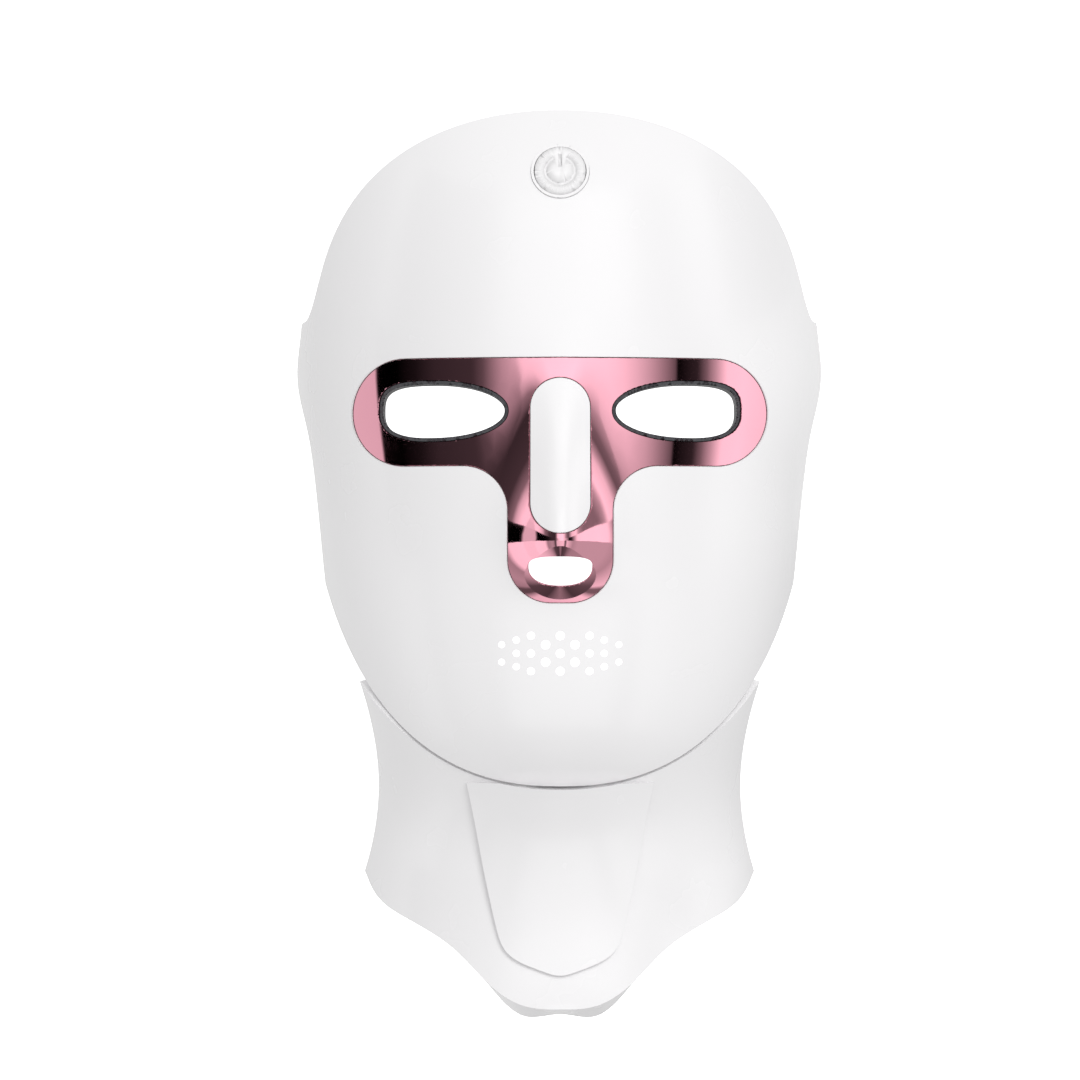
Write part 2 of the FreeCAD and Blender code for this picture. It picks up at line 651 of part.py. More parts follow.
def neck_shell():
    shell = NECK.slab(0, NECK_MODULE)
    trimmed = prism(tongue_outline()).cut(prism(below_jaw()))
    shell = shell.fuse(tongue_slab(0, 1.0).common(trimmed))
    shell = shell.cut(NECK.slab(SHELL, NECK_MODULE + 1, RIM))
    shell = shell.fuse(bosses(NECK, NECK_SCREWS, SHELL - 0.6, NECK_BOARD - TAPE, 0))
    shell = shell.cut(block(13.0 + 2 * TAPE, 3.6 + 2 * TAPE, -6, 6, PLUG_AT, 1.0))
    return drilled(shell, NECK, NECK_SCREWS, SCREW_R - 0.15, SHELL + 0.4, 20)


def below_jaw():
    """Everything in the front view above the neck's upper edge."""
    points = [V(x, 0, neck_top(abs(x))) for x in spread((-42, 42, 12))]
    curve = Part.BSplineCurve()
    curve.interpolate(Points=points)
    edge = curve.toShape()
    return joined([edge, Part.makeLine(V(42, 0, 0), V(-42, 0, 0))])


def neck_inner_cover():
    cover = NECK.slab(NECK_MODULE - COVER, NECK_MODULE, RIM + FIT)
    cover = cover.fuse(bosses(NECK, NECK_SCREWS, NECK_BOARD + BOARD + FIT, NECK_MODULE - 0.6, 0))
    cover = drilled(cover, NECK, NECK_SCREWS, SCREW_R + 0.2)
    return drilled(cover, NECK, NECK_SCREWS, HEAD_R + FIT, NECK_MODULE - HEAD - 0.3, 20)


def neck_led_board():
    board = NECK.slab(NECK_BOARD, NECK_BOARD + BOARD, RIM + 1.0)
    board = board.cut(Part.makeBox(26, 60, 22, V(-13, -30, CHIN_Z - 20)))
    return drilled(board, NECK, NECK_SCREWS, SCREW_R + 0.3)


def neck_leds():
    shapes = []
    for i in range(-5, 6):
        for j in range(4):
            x, z = NECK.plan(i * 0.17, 0.12 + 0.24 * j)
            by_contact = abs(x) < 17 and z > CHIN_Z - 25
            if clear_of(x, z, NECK_SCREWS, 6.5) and not by_contact:
                shapes.append(diode(NECK, x, z, NECK_BOARD))
    return Part.makeCompound(shapes)


def screws(form, spots, module):
    def one(x, z):
        site = form.site(x, z, 0, False)
        top = module - 0.3
        shank = disc(SCREW_R - 0.15, SHELL + 1.2, top - HEAD, site)
        return disc(HEAD_R, top - HEAD, top, site).fuse(shank)
    return Part.makeCompound([one(x, z) for x, z in spots])


def neck_contacts():
    """The neck's sprung contacts, which meet the face module's pads."""
    return block(13.0, 3.6, -4.0, 0.35, PLUG_AT, 0.9)


def face_contacts():
    return block(14.0, 4.0, -RIM - 1.6, -0.1, CONTACT_AT, 0.9)


def magnets(form, v, depth):
    spots = [edge_site(form, u, v, depth) for u in (MAGNET_U, -MAGNET_U)]
    return Part.makeCompound([block(8, 2.4, -RIM - 2.8, -RIM - 0.8, spot) for spot in spots])


def neck_driver_board():
    return block(20, 14, 3.6, 4.6, NECK.site(0, CHIN_Z - 12, 0, False), 1.0)


# --- strap ----------------------------------------------------------------------------------------
def strap_path():
    start = TAB_AT.multVec(V(0, 0, 3.0))
    leave = TAB_AT.multVec(V(0, 0, 13.0))
    back = leave.y + STRAP_BACK
    plan = [start, leave, V(leave.x - 1.5, lerp(leave.y, back, 0.35)),
            V(0.79 * leave.x, lerp(leave.y, back, 0.7)), V(0.44 * leave.x, lerp(leave.y, back, 0.93))]
    for p in plan:
        p.z = start.z + (p.y - start.y) * math.tan(math.radians(STRAP_TILT))
    middle = V(0, back, start.z + (back - start.y) * math.tan(math.radians(STRAP_TILT)))
    path = Part.BSplineCurve()
    path.interpolate(Points=plan + [middle] + [V(-p.x, p.y, p.z) for p in reversed(plan)])
    return path


def strap_frame(path, t):
    """Place, outward direction and upward direction at a share t of the strap."""
    a = lerp(path.FirstParameter, path.LastParameter, t)
    ahead = path.tangent(a)[0]
    tilt = math.radians(STRAP_TILT)
    up = V(0, -math.sin(tilt), math.cos(tilt))
    out = up.cross(ahead).normalize()
    return path.value(a), -out, up


def head_strap():
    path = strap_path()
    grids = []
    for side in (0.5, -0.5):
        grid = []
        for t in spread((0, 1, 32)):
            p, out, up = strap_frame(path, t)
            middle = p + out * (side * STRAP)
            grid.append([middle + up * (h * STRAP_WIDTH) for h in (-0.5, 0, 0.5)])
        grids.append(grid)
    return between(*grids)


def strap_clamp():
    clamp = block(*CLAMP, -RIM - 0.6, 12.0, TAB_AT, 1.5)
    return clamp.cut(block(STRAP_WIDTH + 0.6, STRAP + 0.6, 2.5, 20, TAB_AT))


def strap_slider():
    p, out, up = strap_frame(strap_path(), 0.3)
    turn = FreeCAD.Rotation(V(), up, out, "ZYX")
    place = FreeCAD.Placement(p, turn)
    slot = block(20, STRAP_WIDTH + 0.8, -1.2, 1.2, place)
    return block(14, STRAP_WIDTH + 6, -2.6, 2.6, place, 2.0).cut(slot)


def hand_in(name, shape):
    shape.exportStep(os.path.join("parts", name + ".step"))


def main():
    os.makedirs("parts", exist_ok=True)
    for make in (outer_shell, visor, nose_insert, inner_cover, led_board, face_leds, power_button,
                 button_ring, tact_switch, control_board, battery, usb_socket, port_bezel,
                 forehead_pad, nose_pad, face_contacts, neck_shell, neck_inner_cover, neck_led_board,
                 neck_leds, neck_contacts, neck_driver_board, head_strap, strap_slider):
        hand_in(make.__name__, make())
    for make in (eye_gasket, strap_clamp):
        shape = make()
        hand_in(make.__name__ + "_left", shape)
        hand_in(make.__name__ + "_right", mirrored(shape))
    hand_in("face_screws", screws(FACE, FACE_SCREWS, MODULE))
    hand_in("neck_screws", screws(NECK, NECK_SCREWS, NECK_MODULE))
    hand_in("chin_magnets", magnets(FACE, 0, 5.4))
    hand_in("neck_magnets", magnets(NECK, 1, 3.8))


main()
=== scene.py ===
"""Light-therapy mask: finishes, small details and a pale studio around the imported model."""

import json
import math

import bmesh
import bpy
import numpy
from mathutils import Matrix, Vector


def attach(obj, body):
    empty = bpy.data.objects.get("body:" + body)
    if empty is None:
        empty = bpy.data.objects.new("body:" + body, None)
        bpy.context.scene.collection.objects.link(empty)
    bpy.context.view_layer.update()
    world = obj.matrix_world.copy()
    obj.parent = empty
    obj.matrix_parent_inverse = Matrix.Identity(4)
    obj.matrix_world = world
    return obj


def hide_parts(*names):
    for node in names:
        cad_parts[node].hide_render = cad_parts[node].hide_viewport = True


bl_info = {
    "name": "Light Therapy Mask",
    "version": (1, 0, 0),
    "blender": (4, 5, 0),
    "location": "3D View > Sidebar > Mask",
    "description": "Finishes the parts of a light-therapy mask and sets up its studio",
    "category": "Object",
}

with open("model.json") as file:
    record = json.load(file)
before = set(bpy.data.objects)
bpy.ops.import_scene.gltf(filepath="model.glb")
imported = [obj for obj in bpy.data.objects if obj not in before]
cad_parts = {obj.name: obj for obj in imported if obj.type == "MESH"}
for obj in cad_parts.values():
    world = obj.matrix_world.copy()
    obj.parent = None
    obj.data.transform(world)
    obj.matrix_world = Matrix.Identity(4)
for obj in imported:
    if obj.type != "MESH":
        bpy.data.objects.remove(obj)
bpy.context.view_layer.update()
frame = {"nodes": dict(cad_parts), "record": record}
NODES = frame["nodes"]
MM = 0.001
MERGE = 0.002 * MM       # points closer than this are one
BODY_OF = {node: body for body, nodes in frame["record"]["behaviour"]["bodies"].items() for node in nodes}


# --- helpers --------------------------------------------------------------------------------------
def linear(code):
    """A linear colour from an sRGB hex value such as #F4F2F3."""
    parts = [int(code[i:i + 2], 16) / 255 for i in (1, 3, 5)]
    return [c / 12.92 if c <= 0.04045 else ((c + 0.055) / 1.055) ** 2.4 for c in parts] + [1.0]


def rgba(colour):
    return [*colour[:3], 1.0]


def shade(colour, share):
    return [c * share for c in colour[:3]] + [1.0]


def start_finish(name):
    """A new material: its tree and its shader."""
    material = bpy.data.materials.new(name)
    material.use_nodes = True
    return material, material.node_tree, material.node_tree.nodes["Principled BSDF"]


def add(tree, kind, links=(), settings=(), **values):
    """Adds a node: settings are its own properties, values its inputs, and links go from it."""
    node = tree.nodes.new(kind)
    for key, value in dict(settings).items():
        setattr(node, key, value)
    for key, value in values.items():
        socket = node.inputs[int(key[1:])] if key[0] == "i" and key[1:].isdigit() else node.inputs[key]
        if hasattr(value, "is_output"):
            tree.links.new(value, socket)
        else:
            socket.default_value = value
    for output, target in links:
        tree.links.new(node.outputs[output], target)
    return node


def set_shader(shader, **values):
    for key, value in values.items():
        shader.inputs[key.replace("_", " ")].default_value = value


def clear_selection():
    if bpy.context.object and bpy.context.object.mode != "OBJECT":
        bpy.ops.object.mode_set(mode="OBJECT")
    bpy.ops.object.select_all(action="DESELECT")


def activate(piece):
    clear_selection()
    piece.select_set(True)
    bpy.context.view_layer.objects.active = piece


def new_object(name, data):
    piece = bpy.data.objects.new(name, data)
    bpy.context.scene.collection.objects.link(piece)
    return piece


def finished_copy(node, finish):
    """A merged, smoothly shaded copy of a CAD node in its finish, which stands for it."""
    piece = new_object(node + "_finished", NODES[node].data.copy())
    activate(piece)
    bpy.ops.object.mode_set(mode="EDIT")
    bpy.ops.mesh.select_all(action="SELECT")
    bpy.ops.mesh.remove_doubles(threshold=MERGE)
    bpy.ops.object.mode_set(mode="OBJECT")
    bpy.ops.object.shade_smooth_by_angle(angle=math.radians(32))
    piece.data.materials.clear()
    dress(piece, finish)
    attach(piece, BODY_OF[node])
    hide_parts(node)
    return piece


def dress(piece, material):
    if len(piece.material_slots):
        for slot in piece.material_slots:
            slot.material = material
    else:
        piece.data.materials.append(material)


# --- the forms that the shells follow, in millimetres, as in the CAD source -----------------------
class Curve:
    """A cubic spline through (position, value) stations, in millimetres."""

    def __init__(self, *stations):
        self.x, self.y = numpy.array(stations, float).T
        x, y, n = self.x, self.y, len(self.x)
        step, rise = numpy.diff(x), numpy.diff(y) / numpy.diff(x)
        system, right = numpy.zeros((n, n)), numpy.zeros(n)
        for i in range(1, n - 1):
            system[i, i - 1:i + 2] = step[i], 2 * (step[i - 1] + step[i]), step[i - 1]
            right[i] = 3 * (step[i] * rise[i - 1] + step[i - 1] * rise[i])
        # at each end the slope of the parabola through the last three stations
        for i, a, b in ((0, 0, 1), (n - 1, n - 2, n - 3)):
            system[i, i] = 1
            right[i] = rise[a] + (rise[a] - rise[b]) * step[a] / (step[a] + step[b])
        self.slope = numpy.linalg.solve(system, right)

    def at(self, a):
        a = numpy.clip(a, self.x[0], self.x[-1])
        i = numpy.clip(numpy.searchsorted(self.x, a) - 1, 0, len(self.x) - 2)
        h = self.x[i + 1] - self.x[i]
        t = (a - self.x[i]) / h
        low, high = self.y[i], self.y[i + 1]
        return (low * (1 + 2 * t) * (1 - t) ** 2 + high * t * t * (3 - 2 * t)
                + h * (self.slope[i] * t * (1 - t) ** 2 - self.slope[i + 1] * t * t * (1 - t)))


FRONT = Curve((-119.4, -8.7), (-108, -16.1), (-95, -20.5), (-75, -22.5), (-20, -21.5), (20, -20),
              (50, -17.6), (76, -11.4), (96.6, -1))
SIDE = Curve((-119.4, 58.05), (-86, 71.208), (-54.7, 79), (-28, 82.2), (-11.5, 85), (13, 88.6), (30, 88),
             (48, 85.8), (70, 81.8), (96.6, 75))
NECK_FRONT = Curve((-190, -12.5), (-170, -3.9), (-150, -0.1), (-134, -1.5), (-120.2, -7.5), (-108, -14.1),
                   (-86.4, -25.5), (-80, -28.5))
NECK_SIDE = Curve((-190, 67), (-150, 66.6), (-118.8, 61.4), (-100, 64.4), (-86.4, 66.8), (-80, 67.4))


WRAP, WRAP_SIDE, NECK_WRAP, FULLNESS = 108, 88.4, 68, 2.3
NOSE_HEIGHT, NOSE_TIP_Z, NOSE_TIP_WIDTH, NOSE_ROOT_WIDTH = 15, -41, 13, 9.5


def ease(t):
    t = numpy.clip(t, 0, 1)
    return t * t * (3 - 2 * t)


def wrapped(x, side, depth):
    share = numpy.minimum(0.999, numpy.abs(x) / side)
    return depth * (1 - (1 - share ** FULLNESS) ** (1 / FULLNESS))


def face_form(x, z):
    side = SIDE.at(z)
    return FRONT.at(z) + wrapped(x, side, WRAP * side / WRAP_SIDE)


def nose_form(x, z):
    """The face with its nose standing out."""
    over = z - NOSE_TIP_Z
    spread, power = numpy.where(over > 0, 30, 12), numpy.where(over > 0, 1.6, 2.0)
    rise = numpy.exp(-(numpy.abs(over) / spread) ** power)
    width = NOSE_TIP_WIDTH - (NOSE_TIP_WIDTH - NOSE_ROOT_WIDTH) * ease(over / 40)
    return face_form(x, z) - NOSE_HEIGHT * rise * numpy.exp(-(x / width) ** 2)


def neck_form(x, z):
    return NECK_FRONT.at(z) + wrapped(x, NECK_SIDE.at(z), NECK_WRAP)


def throat_form(x, z):
    """The raised panel under the chin."""
    rise = 1.4 + 5.2 * (1 - ease((-125.4 - z) / 62)) * (1 - numpy.minimum(1, (x / 31) ** 2))
    return neck_form(x, z) - rise


def outward(form, x, z):
    """The form's outward unit normals."""
    h = 0.05
    slope_x = (form(x + h, z) - form(x - h, z)) / (2 * h)
    slope_z = (form(x, z + h) - form(x, z - h)) / (2 * h)
    normal = numpy.stack([slope_x, -numpy.ones_like(x), slope_z], axis=1)
    return normal / numpy.linalg.norm(normal, axis=1, keepdims=True)


def read(items, name, width, kind=float):
    values = numpy.empty(len(items) * width, kind)
    items.foreach_get(name, values)
    return values.reshape(-1, width) if width > 1 else values


def lay_normals(piece, *forms):
    """Gives a piece's curved skins the exact normals of the form they follow."""
    mesh = piece.data
    points = read(mesh.vertices, "co", 3) / MM
    faces = read(mesh.polygons, "normal", 3)
    corners = read(mesh.loops, "vertex_index", 1, numpy.int32).reshape(-1, 3)
    result = numpy.zeros((len(corners), 3, 3))
    waiting = numpy.ones(len(corners), bool)
    for i, form in enumerate(forms):
        normal = outward(form, points[:, 0], points[:, 2])
        depth = (points[:, 1] - form(points[:, 0], points[:, 2])) * -normal[:, 1]
        level = depth[corners]
        facing = numpy.einsum("fk,fk->f", faces, normal[corners].mean(axis=1))
        flat = (numpy.ptp(level, axis=1) < 0.15) & (numpy.abs(facing) > 0.4)
        skin = waiting & (flat | (numpy.abs(facing) > 0.93))
        if i < len(forms) - 1:
            skin &= numpy.abs(level.mean(axis=1)) < 0.3
        touched = numpy.zeros(len(points), bool)
        touched[corners[skin]] = True
        along = numpy.einsum("fk,fck->fc", faces, normal[corners])
        near = waiting & (numpy.ptp(level, axis=1) < 0.6)
        use = touched[corners] & (numpy.abs(along) > 0.6) & near[:, None]
        use |= skin[:, None]
        result[use] = (normal[corners] * numpy.sign(along)[:, :, None])[use]
        waiting &= ~skin
    # walls are smoothed among themselves and never with the skins
    pull = faces * read(mesh.polygons, "area", 1)[:, None]
    total = numpy.zeros(points.shape)
    for k in range(3):
        numpy.add.at(total, corners[waiting, k], pull[waiting])
    total /= numpy.linalg.norm(total, axis=1, keepdims=True) + 1e-30
    walls = numpy.repeat(faces[:, None], 3, axis=1)
    for guess in (read(mesh.corner_normals, "vector", 3).reshape(-1, 3, 3), total[corners]):
        fits = numpy.einsum("fk,fck->fc", faces, guess) > 0.88
        walls[fits] = guess[fits]
    bare = ~result.any(axis=2)
    result[bare] = walls[bare]
    mesh.normals_split_custom_set(result.reshape(-1, 3).tolist())


# --- finishes -------------------------------------------------------------------------------------
def moulded_abs(name, colour, roughness=0.26):
    """Injection-moulded ABS, polished tool: an even white with a soft gloss and faint orange peel."""
    material, tree, shader = start_finish(name)
    place = add(tree, "ShaderNodeTexCoord").outputs["Object"]
    # the peel's cells are about 1.6 mm across
    peel = add(tree, "ShaderNodeTexNoise", Vector=place, Scale=620.0, Detail=2.0)
    add(tree, "ShaderNodeBump", Height=peel.outputs["Fac"], Strength=0.02, Distance=0.0002,
        links=[("Normal", shader.inputs["Normal"])])
    # gloss and tint drift over some tens of millimetres, from flow in the mould and handling
    cloud = add(tree, "ShaderNodeTexNoise", Vector=place, Scale=38.0, Detail=3.0).outputs["Fac"]
    add(tree, "ShaderNodeMapRange", i0=cloud, i3=roughness - 0.03, i4=roughness + 0.04,
        links=[("Result", shader.inputs["Roughness"])])
    tint = add(tree, "ShaderNodeMix", settings={"data_type": "RGBA"}, i0=cloud, i6=rgba(colour),
               i7=shade(colour, 0.985))
    tree.links.new(tint.outputs[2], shader.inputs["Base Color"])
    set_shader(shader, IOR=1.5, Coat_Weight=0.25, Coat_Roughness=0.1)
    return material


def vacuum_metal(name, colour):
    """Vacuum-metallised polycarbonate under tinted lacquer: a mirror with a rose cast."""
    material, tree, shader = start_finish(name)
    place = add(tree, "ShaderNodeTexCoord").outputs["Object"]
    # handling haze in patches of about 12 mm
    haze = add(tree, "ShaderNodeTexNoise", Vector=place, Scale=85.0, Detail=4.0).outputs["Fac"]
    add(tree, "ShaderNodeMapRange", i0=haze, i3=0.03, i4=0.08, links=[("Result", shader.inputs["Roughness"])])
    tint = add(tree, "ShaderNodeMix", settings={"data_type": "RGBA"}, i0=haze, i6=rgba(colour),
               i7=shade(colour, 0.96))
    tree.links.new(tint.outputs[2], shader.inputs["Base Color"])
    set_shader(shader, Metallic=1.0)
    return material


def soft_silicone(name, colour, roughness=0.5, through=0.0):
    """Liquid silicone rubber from a sandblasted tool: dull and a little dusty, with a fine grain."""
    material, tree, shader = start_finish(name)
    place = add(tree, "ShaderNodeTexCoord").outputs["Object"]
    # blast grain is finer than this and is drawn 0.5 mm across so that it shows
    grain = add(tree, "ShaderNodeTexNoise", Vector=place, Scale=2000.0, Detail=2.0)
    add(tree, "ShaderNodeBump", Height=grain.outputs["Fac"], Strength=0.15, Distance=0.0002,
        links=[("Normal", shader.inputs["Normal"])])
    dust = add(tree, "ShaderNodeTexNoise", Vector=place, Scale=120.0, Detail=3.0).outputs["Fac"]
    add(tree, "ShaderNodeMapRange", i0=dust, i3=roughness - 0.05, i4=roughness + 0.08,
        links=[("Result", shader.inputs["Roughness"])])
    tint = add(tree, "ShaderNodeMix", settings={"data_type": "RGBA"}, i0=dust, i6=rgba(colour),
               i7=shade(colour, 0.93))
    tree.links.new(tint.outputs[2], shader.inputs["Base Color"])
    set_shader(shader, IOR=1.41, Transmission_Weight=through)
    return material


def frosted_cover(name):
    """Frosted polycarbonate over the diodes: clear enough to see them, too soft to read them."""
    material, tree, shader = start_finish(name)
    place = add(tree, "ShaderNodeTexCoord").outputs["Object"]
    # the etched texture is drawn with cells of 0.8 mm
    etch = add(tree, "ShaderNodeTexNoise", Vector=place, Scale=1250.0, Detail=2.0).outputs["Fac"]
    add(tree, "ShaderNodeMapRange", i0=etch, i3=0.12, i4=0.26, links=[("Result", shader.inputs["Roughness"])])
    add(tree, "ShaderNodeBump", Height=etch, Strength=0.05, Distance=0.0002,
        links=[("Normal", shader.inputs["Normal"])])
    set_shader(shader, Base_Color=linear("#F7F4F1"), IOR=1.45, Transmission_Weight=0.82)
    return material


def printed_board(name, mask, copper, pitch):
    """Solder mask over a fibre board: satin lacquer with the tracks standing through it."""
    material, tree, shader = start_finish(name)
    place = add(tree, "ShaderNodeTexCoord").outputs["Object"]
    # tracks are 0.35 mm wide at the given pitch
    tracks = add(tree, "ShaderNodeTexBrick", Vector=place, Scale=1.0, i1=rgba(mask), i2=shade(mask, 0.97),
                 Mortar=rgba(copper))
    tracks.inputs["Mortar Size"].default_value = 0.00035 / 2
    tracks.inputs["Mortar Smooth"].default_value = 0.1
    tracks.inputs["Brick Width"].default_value = pitch * 2.4
    tracks.inputs["Row Height"].default_value = pitch
    turned = add(tree, "ShaderNodeMapping", Vector=place, Rotation=(math.pi / 2, 0, 0))
    tree.links.new(turned.outputs["Vector"], tracks.inputs["Vector"])
    tree.links.new(tracks.outputs["Color"], shader.inputs["Base Color"])
    fade = add(tree, "ShaderNodeTexNoise", Vector=place, Scale=300.0).outputs["Fac"]
    add(tree, "ShaderNodeMapRange", i0=fade, i3=0.32, i4=0.45, links=[("Result", shader.inputs["Roughness"])])
    add(tree, "ShaderNodeBump", Height=tracks.outputs["Fac"], Strength=0.3, Distance=0.00004,
        links=[("Normal", shader.inputs["Normal"])])
    return material


def metal(name, colour, roughness, streak=0.0):
    """Plated or rolled metal; streak stretches its fine scratches along X."""
    material, tree, shader = start_finish(name)
    place = add(tree, "ShaderNodeTexCoord").outputs["Object"]
    drawn = add(tree, "ShaderNodeMapping", Vector=place, Scale=(1 - streak, 1, 1)).outputs["Vector"]
    # scratches are drawn 0.3 mm apart
    scratch = add(tree, "ShaderNodeTexNoise", Vector=drawn, Scale=3300.0, Detail=3.0).outputs["Fac"]
    add(tree, "ShaderNodeMapRange", i0=scratch, i3=roughness * 0.8, i4=roughness * 1.35,
        links=[("Result", shader.inputs["Roughness"])])
    tint = add(tree, "ShaderNodeMix", settings={"data_type": "RGBA"}, i0=scratch, i6=rgba(colour),
               i7=shade(colour, 0.9))
    tree.links.new(tint.outputs[2], shader.inputs["Base Color"])
    add(tree, "ShaderNodeBump", Height=scratch, Strength=0.06, Distance=0.0001,
        links=[("Normal", shader.inputs["Normal"])])
    set_shader(shader, Metallic=1.0)
    return material


def webbing(name, colour):
    """Woven elastic webbing: ribs along the strap, picks across it, on the strap's own UV map in mm, with
    painted shade in the weave's hollows.
    """
    material, tree, shader = start_finish(name)
    weave = add(tree, "ShaderNodeUVMap", settings={"uv_map": "weave"}).outputs["UV"]
    # warp ribs every 1.25 mm across and weft picks every 0.8 mm along
    across = add(tree, "ShaderNodeTexWave", settings={"bands_direction": "Y", "wave_profile": "SIN"},
                 Vector=weave, Scale=2 * math.pi / 20 / 1.25, Distortion=0.0)
    along = add(tree, "ShaderNodeTexWave", settings={"bands_direction": "X", "wave_profile": "SIN"},
                Vector=weave, Scale=2 * math.pi / 20 / 0.8, Distortion=0.4)
    cloth = add(tree, "ShaderNodeMath", settings={"operation": "MULTIPLY"}, i0=across.outputs["Fac"],
                i1=along.outputs["Fac"]).outputs["Value"]
    fuzz = add(tree, "ShaderNodeTexNoise", Vector=weave, Scale=0.35, Detail=4.0).outputs["Fac"]
    # painted shade: where the weave sinks (cloth low) the colour is darkened to 72 %, shade painted into the
    # hollows between ribs and picks
    dark = add(tree, "ShaderNodeMix", settings={"data_type": "RGBA"}, i0=cloth, i6=shade(colour, 0.72),
               i7=rgba(colour))
    worn = add(tree, "ShaderNodeMix", settings={"data_type": "RGBA", "blend_type": "MULTIPLY"}, i0=0.35,
               i6=dark.outputs[2])
    tone = add(tree, "ShaderNodeMapRange", i0=fuzz, i3=0.75, i4=1.0).outputs["Result"]
    tree.links.new(tone, worn.inputs[7])
    tree.links.new(worn.outputs[2], shader.inputs["Base Color"])
    add(tree, "ShaderNodeMapRange", i0=fuzz, i3=0.78, i4=0.95, links=[("Result", shader.inputs["Roughness"])])
    add(tree, "ShaderNodeBump", Height=cloth, Strength=0.8, Distance=0.00035,
        links=[("Normal", shader.inputs["Normal"])])
    set_shader(shader, Sheen_Weight=0.3, Sheen_Roughness=0.5)
    return material


# --- the pieces -----------------------------------------------------------------------------------
class MaskSettings(bpy.types.PropertyGroup):
    shell_colour: bpy.props.FloatVectorProperty(
        name="Shell", description="Colour of the moulded shells", subtype="COLOR", size=3,
        default=linear("#F4F3F4")[:3], min=0, max=1)
    visor_colour: bpy.props.FloatVectorProperty(
        name="Visor", description="Tint of the metallised visor", subtype="COLOR", size=3,
        default=linear("#F6B1C1")[:3], min=0, max=1)
    gasket_colour: bpy.props.FloatVectorProperty(
        name="Gasket", description="Colour of the sleeves in the eye openings", subtype="COLOR", size=3,
        default=linear("#4A4A4E")[:3], min=0, max=1)
    strap_colour: bpy.props.FloatVectorProperty(
        name="Strap", description="Colour of the elastic strap", subtype="COLOR", size=3,
        default=linear("#E9E7E8")[:3], min=0, max=1)
    strap_width: bpy.props.FloatProperty(
        name="Strap width", description="Width of the elastic strap", unit="LENGTH", default=20 * MM,
        min=0.01, max=0.022)
    stitch: bpy.props.FloatProperty(
        name="Stitch", description="Length of one stitch in the strap's ends", unit="LENGTH",
        default=2.4 * MM, min=0.001, max=0.005)
    track_pitch: bpy.props.FloatProperty(
        name="Track pitch", description="Spacing of the copper tracks on the diode boards", unit="LENGTH",
        default=6.6 * MM, min=0.002, max=0.02)


class MASK_OT_shells(bpy.types.Operator):
    """Finish the face and neck shells, the nose insert, the button and the strap clamps"""
    bl_idname = "mask.shells"
    bl_label = "Shells"

    def execute(self, context):
        white = moulded_abs("Polished white moulded ABS", context.scene.mask_settings.shell_colour)
        forms = {"outer_shell": (nose_form,), "nose_insert": (nose_form,),
                 "neck_shell": (throat_form, neck_form)}
        for node in (*forms, "strap_clamp_left", "strap_clamp_right", "button_ring", "power_button"):
            piece = finished_copy(node, white)
            if node in forms:
                lay_normals(piece, *forms[node])
        return {"FINISHED"}


class MASK_OT_visor(bpy.types.Operator):
    """Finish the T-shaped visor as tinted metallised plastic"""
    bl_idname = "mask.visor"
    bl_label = "Visor"

    def execute(self, context):
        mirror = vacuum_metal("Rose metallised polycarbonate", context.scene.mask_settings.visor_colour)
        lay_normals(finished_copy("visor", mirror), nose_form)
        return {"FINISHED"}


class MASK_OT_soft_parts(bpy.types.Operator):
    """Finish the eye gaskets and the pads in silicone"""
    bl_idname = "mask.soft_parts"
    bl_label = "Gaskets and pads"

    def execute(self, context):
        dark = soft_silicone("Dark grey silicone rubber", context.scene.mask_settings.gasket_colour)
        for node in ("eye_gasket_left", "eye_gasket_right"):
            finished_copy(node, dark)
        milky = soft_silicone("Milky silicone rubber", linear("#E9E5E2"), 0.55, 0.12)
        for node in ("forehead_pad", "nose_pad"):
            pad = finished_copy(node, milky)
            soften_edges(pad, 0.9 * MM)
        return {"FINISHED"}


class MASK_OT_covers(bpy.types.Operator):
    """Finish the frosted covers that face the skin"""
    bl_idname = "mask.covers"
    bl_label = "Inner covers"

    def execute(self, context):
        frosted = frosted_cover("Frosted polycarbonate")
        lay_normals(finished_copy("inner_cover", frosted), face_form)
        lay_normals(finished_copy("neck_inner_cover", frosted), neck_form)
        return {"FINISHED"}


class MASK_OT_boards(bpy.types.Operator):
    """Finish the diode boards and the control boards, with the control board's components"""
    bl_idname = "mask.boards"
    bl_label = "Boards"

    def execute(self, context):
        pitch = context.scene.mask_settings.track_pitch
        white = printed_board("White solder mask", linear("#EFEDE8"), linear("#D9CDB4"), pitch)
        lay_normals(finished_copy("led_board", white), face_form)
        lay_normals(finished_copy("neck_led_board", white), neck_form)
        green = printed_board("Green solder mask", linear("#1E5B3A"), linear("#3E8A5C"), 1.6 * MM)
        finished_copy("control_board", green)
        finished_copy("neck_driver_board", green)
        chips()
        return {"FINISHED"}


class MASK_OT_diodes(bpy.types.Operator):
    """Model one light-emitting diode and set a copy of it at each of its places"""
    bl_idname = "mask.diodes"
    bl_label = "Diodes"

    def execute(self, context):
        for node in ("face_leds", "neck_leds"):
            places = [square_place(island) for island in islands(node)]
            array = copies(diode_package(), places, node + "_packages")
            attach(array, BODY_OF[node])
            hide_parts(node)
        return {"FINISHED"}


